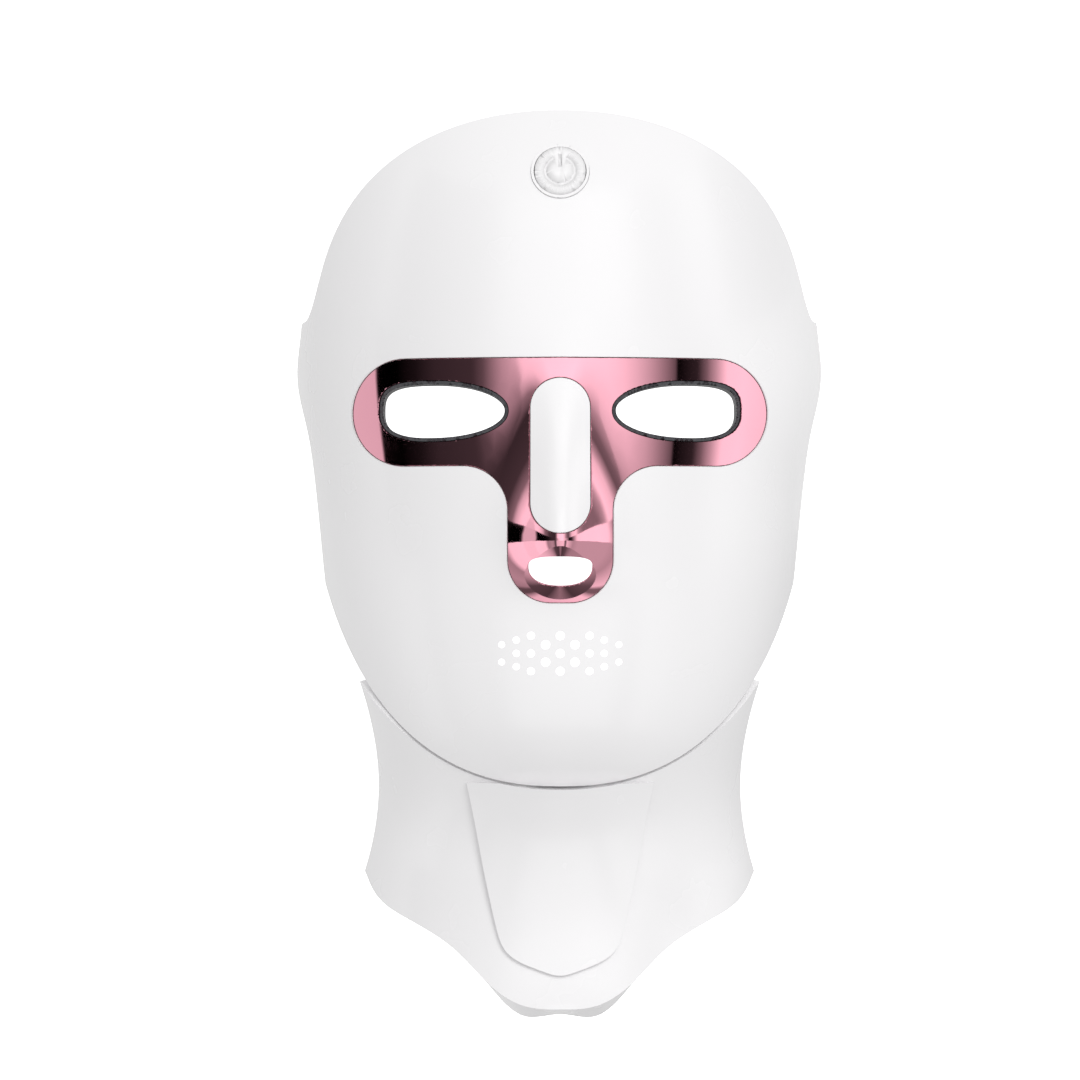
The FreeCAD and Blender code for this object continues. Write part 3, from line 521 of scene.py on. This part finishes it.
class MASK_OT_electronics(bpy.types.Operator):
    """Finish the switch, the battery, the socket, the contacts and the magnets"""
    bl_idname = "mask.electronics"
    bl_label = "Electronics"

    def execute(self, context):
        foil = metal("Laminated aluminium foil", linear("#C9CBCE"), 0.34)
        nickel = metal("Bright nickel plate", linear("#C8C4BC"), 0.18)
        steel = metal("Stamped stainless steel", linear("#BDBEC0"), 0.3, 0.9)
        grey = moulded_abs("Pale grey moulded ABS", linear("#D3D3D5"), 0.42)
        black = moulded_abs("Black moulded nylon", linear("#1B1B1D"), 0.5)
        for node, finish, slot in (("battery", foil, "battery_foil"), ("tact_switch", black, "dark_plastic"),
                                   ("usb_socket", steel, "steel"), ("port_bezel", grey, "grey_plastic"),
                                   ("face_contacts", black, "dark_plastic"),
                                   ("neck_contacts", black, "dark_plastic"),
                                   ("chin_magnets", nickel, "magnet"), ("neck_magnets", nickel, "magnet")):
            finished_copy(node, finish)
        gold = metal("Gold-plated brass", linear("#E4C277"), 0.2)
        pins("contact_pins", "face_contacts", gold, FACE_CONTACT, -0.1 * MM)
        pins("neck_contact_pins", "neck_contacts", gold, NECK_CONTACT, 0.35 * MM)
        return {"FINISHED"}


class MASK_OT_screws(bpy.types.Operator):
    """Model one cross-headed screw and set a copy of it at each of its places"""
    bl_idname = "mask.screws"
    bl_label = "Screws"

    def execute(self, context):
        zinc = metal("Zinc-plated steel", linear("#B9BBBD"), 0.28)
        for node in ("face_screws", "neck_screws"):
            places = [round_place(island) for island in islands(node)]
            lengths = [length for _, length in places]
            array = copies(cross_screw(zinc, max(lengths)), [place for place, _ in places], node + "_fitted")
            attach(array, BODY_OF[node])
            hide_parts(node)
        return {"FINISHED"}


class MASK_OT_strap(bpy.types.Operator):
    """Model the elastic strap with its stitched ends, and finish its slider"""
    bl_idname = "mask.strap"
    bl_label = "Strap"

    def execute(self, context):
        settings = context.scene.mask_settings
        fabric = webbing("Woven elastic webbing", settings.strap_colour)
        strap, length = elastic_strap(settings.strap_width, fabric)
        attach(strap, "face")
        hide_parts("head_strap")
        seams = stitches(settings.stitch, settings.strap_width)
        dress(seams, webbing("Polyester thread", linear("#C9C6C8")))
        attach(seams, "face")
        finished_copy("strap_slider", moulded_abs("White moulded acetal", linear("#EDECEC"), 0.36))
        return {"FINISHED"}


class MASK_OT_stage(bpy.types.Operator):
    """Set up the pale floor, the soft lights and the camera"""
    bl_idname = "mask.stage"
    bl_label = "Studio"

    def execute(self, context):
        backdrop()
        lights()
        camera()
        return {"FINISHED"}


def soften_edges(piece, width):
    activate(piece)
    rounded = piece.modifiers.new("Rounded edges", "BEVEL")
    rounded.width = width
    rounded.segments = 3
    rounded.limit_method = "ANGLE"
    rounded.angle_limit = math.radians(50)
    bpy.ops.object.modifier_apply(modifier=rounded.name)
    bpy.ops.object.shade_smooth_by_angle(angle=math.radians(40))


def islands(node):
    """The separate solids of a CAD node, each as its points."""
    mesh = bmesh.new()
    mesh.from_mesh(NODES[node].data)
    bmesh.ops.remove_doubles(mesh, verts=mesh.verts, dist=MERGE)
    seen, found = set(), []
    for seed in mesh.verts:
        if seed in seen:
            continue
        group, waiting = [], [seed]
        seen.add(seed)
        while waiting:
            vertex = waiting.pop()
            group.append(vertex.co.copy())
            for edge in vertex.link_edges:
                other = edge.other_vert(vertex)
                if other not in seen:
                    seen.add(other)
                    waiting.append(other)
        found.append(numpy.array(group))
    mesh.free()
    return found


def frame_at(origin, across, along):
    """A placement from its origin, a direction for its X and one for its Z."""
    z = Vector(along).normalized()
    x = Vector(across)
    x = (x - z * x.dot(z)).normalized()
    turn = Matrix((x, z.cross(x), z)).transposed().to_4x4()
    return Matrix.Translation(Vector(origin)) @ turn


def square_place(points):
    """Where a square package lies: own Z towards the wearer, own X along a side."""
    middle = points.mean(axis=0)
    thin = numpy.linalg.svd(points - middle)[2][2]
    thin = thin if thin[1] - numpy.sign(middle[0]) * thin[0] > 0 else -thin
    ahead = points[(points - middle) @ thin > 0]
    sides = [b - ahead[0] for b in ahead[1:]]
    return frame_at(middle, min(sides, key=lambda side: numpy.linalg.norm(side)), thin)


def round_place(points):
    """Where a screw lies: own Z out of its head, origin on top of it; and its length."""
    middle = (points.max(axis=0) + points.min(axis=0)) / 2
    axis = numpy.linalg.svd(points - points.mean(axis=0))[2]
    spans = [numpy.ptp(points @ a) for a in axis]
    a = axis[int(numpy.argmax(spans))]
    reach = points @ a
    # the head is the wider end
    def girth(end):
        ring = points[numpy.abs(reach - end) < 0.2 * MM]
        return numpy.linalg.norm(ring - ring.mean(axis=0), axis=1).max()
    if girth(reach.max()) < girth(reach.min()):
        a, reach = -a, -reach
    top = points[reach > reach.max() - 0.2 * MM].mean(axis=0)
    return frame_at(top, (0, 0, 1), a), float(numpy.ptp(reach))


def joined(pieces, name):
    """Joins pieces into the first of them."""
    activate(pieces[0])
    for piece in pieces:
        piece.select_set(True)
    bpy.ops.object.join()
    pieces[0].name = name
    return pieces[0]


def copies(model, places, name):
    """Sets a copy of a model, with its own mesh, at each place and joins them as one piece."""
    made = []
    for place in places:
        mesh = model.data.copy()
        mesh.transform(place)
        made.append(new_object(name, mesh))
    bpy.data.objects.remove(model)
    return joined(made, name)


def pick_faces(piece, test):
    """Selects, in edit mode, the faces that pass a test of their middle and normal."""
    bpy.ops.mesh.select_all(action="DESELECT")
    mesh = bmesh.from_edit_mesh(piece.data)
    mesh.faces.ensure_lookup_table()
    for face in mesh.faces:
        face.select = bool(test(face.calc_center_median(), face.normal))
    mesh.select_flush_mode()
    bmesh.update_edit_mesh(piece.data)


def bevel_top(piece, width, segments):
    bpy.ops.object.mode_set(mode="EDIT")
    pick_faces(piece, lambda middle, normal: normal.z > 0.9)
    bpy.ops.mesh.bevel(offset=width, segments=segments, affect="EDGES")
    bpy.ops.object.mode_set(mode="OBJECT")


def box(size, middle, name):
    clear_selection()
    bpy.ops.mesh.primitive_cube_add(size=1, location=middle)
    piece = bpy.context.object
    piece.scale = size
    bpy.ops.object.transform_apply(location=True, rotation=True, scale=True)
    piece.name = name
    return piece


def diode_package():
    """A 3.5 mm package: white housing with a cup, and a clear lens over the die in it."""
    piece = box((3.5 * MM, 3.5 * MM, 1.2 * MM), (0, 0, 0), "package")
    bpy.ops.object.mode_set(mode="EDIT")
    pick_faces(piece, lambda middle, normal: normal.z > 0.9)
    bpy.ops.mesh.inset(thickness=0.35 * MM)
    bpy.ops.mesh.inset(thickness=0.3 * MM, depth=-0.45 * MM)
    bpy.ops.mesh.inset(thickness=0.25 * MM, depth=0.3 * MM)
    bpy.ops.mesh.inset(thickness=0.35 * MM, depth=0.12 * MM)
    bpy.ops.object.mode_set(mode="OBJECT")
    housing = moulded_abs("White diode housing", linear("#F2F1EC"), 0.4)
    lens, tree, shader = start_finish("Clear silicone lens over phosphor")
    place = add(tree, "ShaderNodeTexCoord").outputs["Object"]
    # the phosphor's grains are drawn 0.25 mm across
    grain = add(tree, "ShaderNodeTexNoise", Vector=place, Scale=4000.0).outputs["Fac"]
    tint = add(tree, "ShaderNodeMix", settings={"data_type": "RGBA"}, i0=grain, i6=linear("#E8B05A"),
               i7=linear("#F3CF7E"))
    tree.links.new(tint.outputs[2], shader.inputs["Base Color"])
    set_shader(shader, Roughness=0.08, IOR=1.41, Coat_Weight=1.0)
    piece.data.materials.append(housing)
    piece.data.materials.append(lens)
    for polygon in piece.data.polygons:
        inner = max(abs(polygon.center.x), abs(polygon.center.y)) < 1.05 * MM
        polygon.material_index = int(inner and polygon.center.z > 0)
    return piece


def cross_screw(finish, length):
    """A pan-head screw with a cross recess; own Z out of the head, origin on top of it."""
    clear_selection()
    bpy.ops.mesh.primitive_cylinder_add(vertices=32, radius=2.0 * MM, depth=1.0 * MM,
                                        location=(0, 0, -0.5 * MM))
    piece = bpy.context.object
    bpy.ops.object.transform_apply(location=True, rotation=True, scale=True)
    bpy.ops.object.mode_set(mode="EDIT")
    pick_faces(piece, lambda middle, normal: normal.z > 0.9)
    bpy.ops.mesh.bevel(offset=0.35 * MM, segments=3, affect="EDGES")
    pick_faces(piece, lambda middle, normal: normal.z < -0.9)
    bpy.ops.mesh.inset(thickness=1.15 * MM)
    bpy.ops.mesh.extrude_region_move(TRANSFORM_OT_translate={"value": (0, 0, 1.0 * MM - length)})
    bpy.ops.object.mode_set(mode="OBJECT")
    for turn in (0, math.pi / 2):
        blade = box((2.4 * MM, 0.5 * MM, 1.0 * MM), (0, 0, 0), "blade")
        bpy.ops.object.mode_set(mode="EDIT")
        pick_faces(blade, lambda middle, normal: normal.z < -0.9)
        bpy.ops.transform.resize(value=(0.4, 0.6, 1), center_override=(0, 0, -0.5 * MM))
        bpy.ops.object.mode_set(mode="OBJECT")
        blade.data.transform(Matrix.Rotation(turn, 4, "Z"))
        activate(piece)
        recess = piece.modifiers.new("Recess", "BOOLEAN")
        recess.operation = "DIFFERENCE"
        recess.object = blade
        bpy.ops.object.modifier_apply(modifier=recess.name)
        bpy.data.objects.remove(blade)
    activate(piece)
    bpy.ops.object.shade_smooth_by_angle(angle=math.radians(35))
    dress(piece, finish)
    return piece


FACE_CONTACT = frame_at((0, -3.156 * MM, -117.105 * MM), (1, 0, 0), (0, 0.3825, -0.924))
NECK_CONTACT = frame_at((0, -3.249 * MM, -117.971 * MM), (1, 0, 0), (0, -0.4644, 0.8856))
SWITCH = frame_at((0, -11.329 * MM, 76.2 * MM), (1, 0, 0), (0, 0.9382, -0.3461))
PIN_PITCH = 2.8 * MM
BOARD_LEVEL = 9.22 * MM      # the control board's rear, from the button's face


def pins(name, node, finish, place, level):
    """A row of four domed contacts in a connector's face, level with it or proud of it."""
    clear_selection()
    bpy.ops.mesh.primitive_cylinder_add(vertices=20, radius=0.75 * MM, depth=1.2 * MM,
                                        location=(0, 0, -0.6 * MM))
    pin = bpy.context.object
    bpy.ops.object.transform_apply(location=True, rotation=True, scale=True)
    bevel_top(pin, 0.3 * MM, 3)
    bpy.ops.object.shade_smooth_by_angle(angle=math.radians(40))
    dress(pin, finish)
    steps = [Matrix.Translation((i * PIN_PITCH, 0, level + 0.03 * MM)) for i in (-1.5, -0.5, 0.5, 1.5)]
    row = copies(pin, [place @ step for step in steps], name)
    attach(row, BODY_OF[node])


def chips():
    """The control board's packages: a controller, a coil, a charger and a row of small parts."""
    epoxy = moulded_abs("Black moulded epoxy", linear("#202124"), 0.45)
    ceramic = moulded_abs("Sintered ceramic", linear("#B79D7C"), 0.5)
    tin = metal("Tinned copper", linear("#C9CACB"), 0.25)
    made = []
    for size, spots, finish in (((5, 5, 0.8), ((-10, 3),), epoxy), ((4, 4, 0.9), ((10, -4),), ceramic),
                                ((3, 3, 0.75), ((9, 5),), epoxy),
                                ((1.6, 0.8, 0.5), ((-13, -6), (-10, -6), (-7, -6), (13, 1), (5, 8), (1, 8)),
                                 ceramic)):
        body = box([s * MM for s in size], (0, 0, size[2] / 2 * MM), "component")
        bevel_top(body, 0.12 * MM, 2)
        dress(body, finish)
        foot = box(((size[0] + 0.7) * MM, size[1] * 0.8 * MM, 0.2 * MM), (0, 0, 0.1 * MM), "foot")
        bevel_top(foot, 0.06 * MM, 1)
        dress(foot, tin)
        places = [SWITCH @ Matrix.Translation((x * MM, y * MM, BOARD_LEVEL)) for x, y in spots]
        made.append(copies(joined([body, foot], "component"), places, "component"))
    parts = joined(made, "control_board_components")
    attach(parts, "face")


# --- the strap ------------------------------------------------------------------------------------
TILT = math.radians(9)
BEHIND = 98              # how far the strap reaches behind its clamps, in millimetres
STEPS = 281


def strap_line():
    """The strap's middle line: points, outward directions, the direction across it and lengths."""
    start, leave = (81.756, 66.766, 16.836), (82.985, 76.566, 18.4)
    plan = [start[:2], leave[:2], (leave[0] - 1.5, leave[1] + 0.35 * BEHIND),
            (0.79 * leave[0], leave[1] + 0.7 * BEHIND), (0.44 * leave[0], leave[1] + 0.93 * BEHIND)]
    plan += [(0, leave[1] + BEHIND)] + [(-x, y) for x, y in reversed(plan)]
    chords = [0]
    for (a, b), (c, d) in zip(plan, plan[1:]):
        chords.append(chords[-1] + math.dist((a, b), (c, d)))
    xs = Curve(*[(s, x) for s, (x, _) in zip(chords, plan)])
    ys = Curve(*[(s, y) for s, (_, y) in zip(chords, plan)])
    along = numpy.linspace(0, chords[-1], STEPS)
    x, y = xs.at(along), ys.at(along)
    z = start[2] + (y - start[1]) * math.tan(TILT)
    points = numpy.stack([x, y, z], axis=1) * MM
    ahead = numpy.gradient(points, axis=0)
    up = numpy.array([0, -math.sin(TILT), math.cos(TILT)])
    out = numpy.cross(ahead, up)
    out /= numpy.linalg.norm(out, axis=1, keepdims=True)
    reach = numpy.concatenate([[0], numpy.cumsum(numpy.linalg.norm(numpy.diff(points, axis=0), axis=1))])
    return points, out, up, reach


def elastic_strap(width, fabric):
    """A woven band with rounded selvedges, laid along its line; and its length."""
    points, out, up, reach = strap_line()
    # one side of the band's section, from the middle of one selvedge round to the other
    half, thick = width / 2 - 0.1 * MM, 0.72 * MM
    steps = [(-1, 0), (-0.985, 0.62), (-0.93, 1), (-0.88, 0.86), (-0.6, 0.9), (-0.2, 0.9),
             (0.2, 0.9), (0.6, 0.9), (0.88, 0.86), (0.93, 1), (0.985, 0.62)]
    section = steps + [(-h, -t) for h, t in steps]
    mesh = bpy.data.meshes.new("elastic_strap")
    count = len(section)
    vertices = [p + o * (t * thick) + up * (h * half) for p, o in zip(points, out) for h, t in section]
    faces = []
    for i in range(len(points) - 1):
        for j in range(count):
            k = (j + 1) % count
            faces.append((i * count + j, i * count + k, (i + 1) * count + k, (i + 1) * count + j))
    last = (len(points) - 1) * count
    faces += [tuple(range(count))[::-1], tuple(range(last, last + count))]
    mesh.from_pydata([tuple(v) for v in vertices], [], faces)
    around = [0]
    for (a, b), (c, d) in zip(section, section[1:] + section[:1]):
        around.append(around[-1] + math.hypot((c - a) * half, (d - b) * thick) / MM)
    weave = mesh.uv_layers.new(name="weave")
    for face, polygon in enumerate(mesh.polygons):
        if face >= (len(points) - 1) * count:
            continue
        i, j = divmod(face, count)
        corners = ((reach[i], around[j]), (reach[i], around[j + 1]), (reach[i + 1], around[j + 1]),
                   (reach[i + 1], around[j]))
        for loop, (s, r) in zip(polygon.loop_indices, corners):
            weave.data[loop].uv = (s / MM, r)
    piece = new_object("elastic_strap", mesh)
    activate(piece)
    bpy.ops.object.mode_set(mode="EDIT")
    bpy.ops.mesh.select_all(action="SELECT")
    bpy.ops.mesh.normals_make_consistent(inside=False)
    bpy.ops.object.mode_set(mode="OBJECT")
    bpy.ops.object.shade_smooth_by_angle(angle=math.radians(60))
    dress(piece, fabric)
    return piece, float(reach[-1])


def stitches(stitch, width):
    """Rows of thread across the strap where its ends are sewn, on its outer side."""
    points, out, up, reach = strap_line()
    clear_selection()
    bpy.ops.mesh.primitive_cylinder_add(vertices=8, radius=0.22 * MM, depth=stitch * 0.72)
    thread = bpy.context.object
    bpy.ops.object.mode_set(mode="EDIT")
    pick_faces(thread, lambda middle, normal: abs(normal.z) > 0.9)
    bpy.ops.mesh.bevel(offset=0.12 * MM, segments=2, affect="EDGES")
    bpy.ops.object.mode_set(mode="OBJECT")
    bpy.ops.object.shade_smooth()
    thread.data.uv_layers[0].name = "weave"
    places = []
    rows = int(width * 0.8 / stitch)
    row_at = (16.5 * MM, 19.5 * MM)
    for at in (*row_at, *(reach[-1] - step for step in row_at)):
        i = int(numpy.searchsorted(reach, at))
        for k in range(rows):
            height = (k - (rows - 1) / 2) * stitch
            spot = points[i] + out[i] * 0.7 * MM + up * height
            places.append(frame_at(spot, out[i], up))
    return copies(thread, places, "strap_stitches")


# --- the studio -----------------------------------------------------------------------------------
def backdrop():
    clear_selection()
    bpy.ops.mesh.primitive_plane_add(size=8, location=(0, 1.0, -0.32))
    floor = bpy.context.object
    bpy.ops.object.transform_apply(location=True, rotation=True, scale=True)
    bpy.ops.object.mode_set(mode="EDIT")
    bpy.ops.mesh.select_all(action="DESELECT")
    mesh = bmesh.from_edit_mesh(floor.data)
    for edge in mesh.edges:
        edge.select = all(vertex.co.y > 4.9 for vertex in edge.verts)
    bmesh.update_edit_mesh(floor.data)
    bpy.ops.mesh.extrude_region_move(TRANSFORM_OT_translate={"value": (0, 0, 6)})
    bpy.ops.object.mode_set(mode="OBJECT")
    bend = floor.modifiers.new("Cove", "BEVEL")
    bend.width = 1.6
    bend.segments = 16
    bend.limit_method = "ANGLE"
    bpy.ops.object.modifier_apply(modifier=bend.name)
    bpy.ops.object.shade_smooth()
    floor.name = "studio_floor"
    material, _, shader = start_finish("Pale seamless paper")
    set_shader(shader, Base_Color=linear("#F8F8F8"), Roughness=0.9, Emission_Color=linear("#FFFFFF"),
               Emission_Strength=0.8)
    dress(floor, material)
    floor.visible_diffuse = floor.visible_glossy = False


def softbox(name, place, target, size, power):
    light = bpy.data.lights.new(name, "AREA")
    light.shape = "RECTANGLE"
    light.size, light.size_y = size
    light.energy = power
    lamp = new_object(name, light)
    lamp.location = place
    lamp.visible_glossy = False
    lamp.rotation_euler = (Vector(target) - Vector(place)).to_track_quat("-Z", "Y").to_euler()


def painted(name, tones, strength=1.5):
    """Card stock lit by its own paint: brightness at each angle, from straight ahead towards +X."""
    material, tree, shader = start_finish(name)
    place = add(tree, "ShaderNodeTexCoord").outputs["Object"]
    angle = add(tree, "ShaderNodeTexGradient", settings={"gradient_type": "RADIAL"}, Vector=place)
    ramp = add(tree, "ShaderNodeValToRGB", Fac=angle.outputs["Fac"])
    stops = ramp.color_ramp.elements
    stops.remove(stops[-1])
    stops[0].position, stops[0].color = 0, [tones[0][1] / strength] * 3 + [1]
    for degrees, tone in tones[1:]:
        stops.new(degrees / 360 + 0.25).color = [tone / strength] * 3 + [1]
    tree.links.new(ramp.outputs["Color"], shader.inputs["Emission Color"])
    shader.inputs["Specular IOR Level"].default_value = 0.0
    set_shader(shader, Base_Color=(0, 0, 0, 1), Roughness=1.0, Emission_Strength=strength)
    return material


def reflected(panel, name, material):
    """Leaves a stage piece in reflections only."""
    panel.name = name
    dress(panel, material)
    for way in ("camera", "diffuse", "transmission", "volume_scatter", "shadow"):
        setattr(panel, "visible_" + way, False)


def band(name, radius, low, high, tones):
    """One ring of cards round the mask, given by height and by tone at each angle."""
    clear_selection()
    bpy.ops.mesh.primitive_cylinder_add(vertices=128, radius=radius, depth=high - low,
                                        end_fill_type="NOTHING", location=(0, 0, (low + high) / 2))
    bpy.ops.object.transform_apply(location=True, rotation=True, scale=True)
    reflected(bpy.context.object, name, painted("Paint of " + name, tones))


def drum(radius=1.2, reach=0.9):
    """Cards round and under the mask that only its gloss sees: bright ahead, black at both sides."""
    band("reflection_drum", radius, -reach, reach,
         ((-90, 0.6), (-89.6, 0.0), (-76, 0.0), (-64, 0.01), (-53, 0.035), (-33, 0.05), (-28, 0.12),
          (-25, 0.25), (-18, 0.65), (-11, 1.05), (-5, 1.25), (2, 1.37), (14, 1.43), (23, 1.14),
          (31.7, 0.78), (41, 0.39), (48.5, 0.12), (49, 0.0), (61, 0.03), (66, 0.2), (72, 0.6),
          (79, 1.25), (90, 1.3), (140, 0.9), (269, 0.8)))
    band("reflection_brow", radius - 0.1, 0.17, reach,
         ((-90, 1.2), (-87, 1.2), (-80, 0.75), (-75, 0.25), (-61, 0.06), (-33, 0.04), (-25, 0.3),
          (-19, 1.1), (-12, 1.35), (14, 1.43), (23, 1.14), (32, 0.5), (41, 0.2), (48, 0.15), (55, 0.5),
          (62, 1.0), (75, 1.25), (81, 0.55), (88, 0.25), (110, 0.3), (140, 0.9), (269, 0.9)))
    band("reflection_skirt", radius - 0.1, -reach, -0.06,
         ((-90, 1.2), (-74, 1.15), (-66, 0.4), (-48, 0.5), (-38, 0.4), (-34, 0.12), (-28, 0.12),
          (-20, 0.9), (20, 1.1), (28, 0.2), (34, 0.2), (39, 1.0), (50, 0.8), (66, 0.5), (80, 0.6),
          (140, 0.6), (269, 1.1)))
    clear_selection()
    bpy.ops.mesh.primitive_circle_add(vertices=64, radius=radius, fill_type="NGON", location=(0, 0, -reach))
    bpy.ops.object.transform_apply(location=True, rotation=True, scale=True)
    under = ((-90, 1.0), (-60, 0.5), (-40, 0.1), (-14, 0.07), (0, 0.3), (14, 0.07), (40, 0.12), (70, 0.4),
             (180, 0.6), (260, 1.0))
    reflected(bpy.context.object, "reflection_base", painted("Paint of reflection_base", under))


def lights():
    world = bpy.data.worlds.new("Studio air")
    bpy.context.scene.world = world
    world.use_nodes = True
    world.node_tree.nodes["Background"].inputs["Color"].default_value = linear("#FFFFFF")
    world.node_tree.nodes["Background"].inputs["Strength"].default_value = 0.72
    softbox("Key", (0.6, -1.9, 0.95), (0, 0, -0.05), (0.9, 1.2), 18)
    softbox("Back", (0, 2.2, 0.6), (0, 0.3, -0.05), (1.2, 1.2), 12)
    drum()


def camera():
    lens = bpy.data.cameras.new("Camera")
    lens.sensor_width = 36
    lens.lens = 156.25
    view = new_object("Camera", lens)
    view.location = (-0.0064, -1.5, -0.041)
    view.rotation_euler = (math.pi / 2, 0, 0)
    bpy.context.scene.camera = view


class MASK_PT_panel(bpy.types.Panel):
    """Lists the mask's settings and pieces"""
    bl_idname = "MASK_PT_panel"
    bl_label = "Light Therapy Mask"
    bl_space_type = "VIEW_3D"
    bl_region_type = "UI"
    bl_category = "Mask"

    def draw(self, context):
        for name in MaskSettings.__annotations__:
            self.layout.prop(context.scene.mask_settings, name)
        for operator in OPERATORS:
            self.layout.operator(operator.bl_idname)


OPERATORS = (MASK_OT_shells, MASK_OT_visor, MASK_OT_soft_parts, MASK_OT_covers, MASK_OT_boards,
             MASK_OT_diodes, MASK_OT_electronics, MASK_OT_screws, MASK_OT_strap, MASK_OT_stage)
CLASSES = (MaskSettings, *OPERATORS, MASK_PT_panel)


def register():
    for item in CLASSES:
        bpy.utils.register_class(item)
    bpy.types.Scene.mask_settings = bpy.props.PointerProperty(type=MaskSettings)


def unregister():
    del bpy.types.Scene.mask_settings
    for item in reversed(CLASSES):
        bpy.utils.unregister_class(item)


def main():
    register()
    bpy.context.scene.view_settings.view_transform = "Standard"
    for operator in OPERATORS:
        family, action = operator.bl_idname.split(".")
        getattr(getattr(bpy.ops, family), action)()


if __name__ == "__main__":
    main()
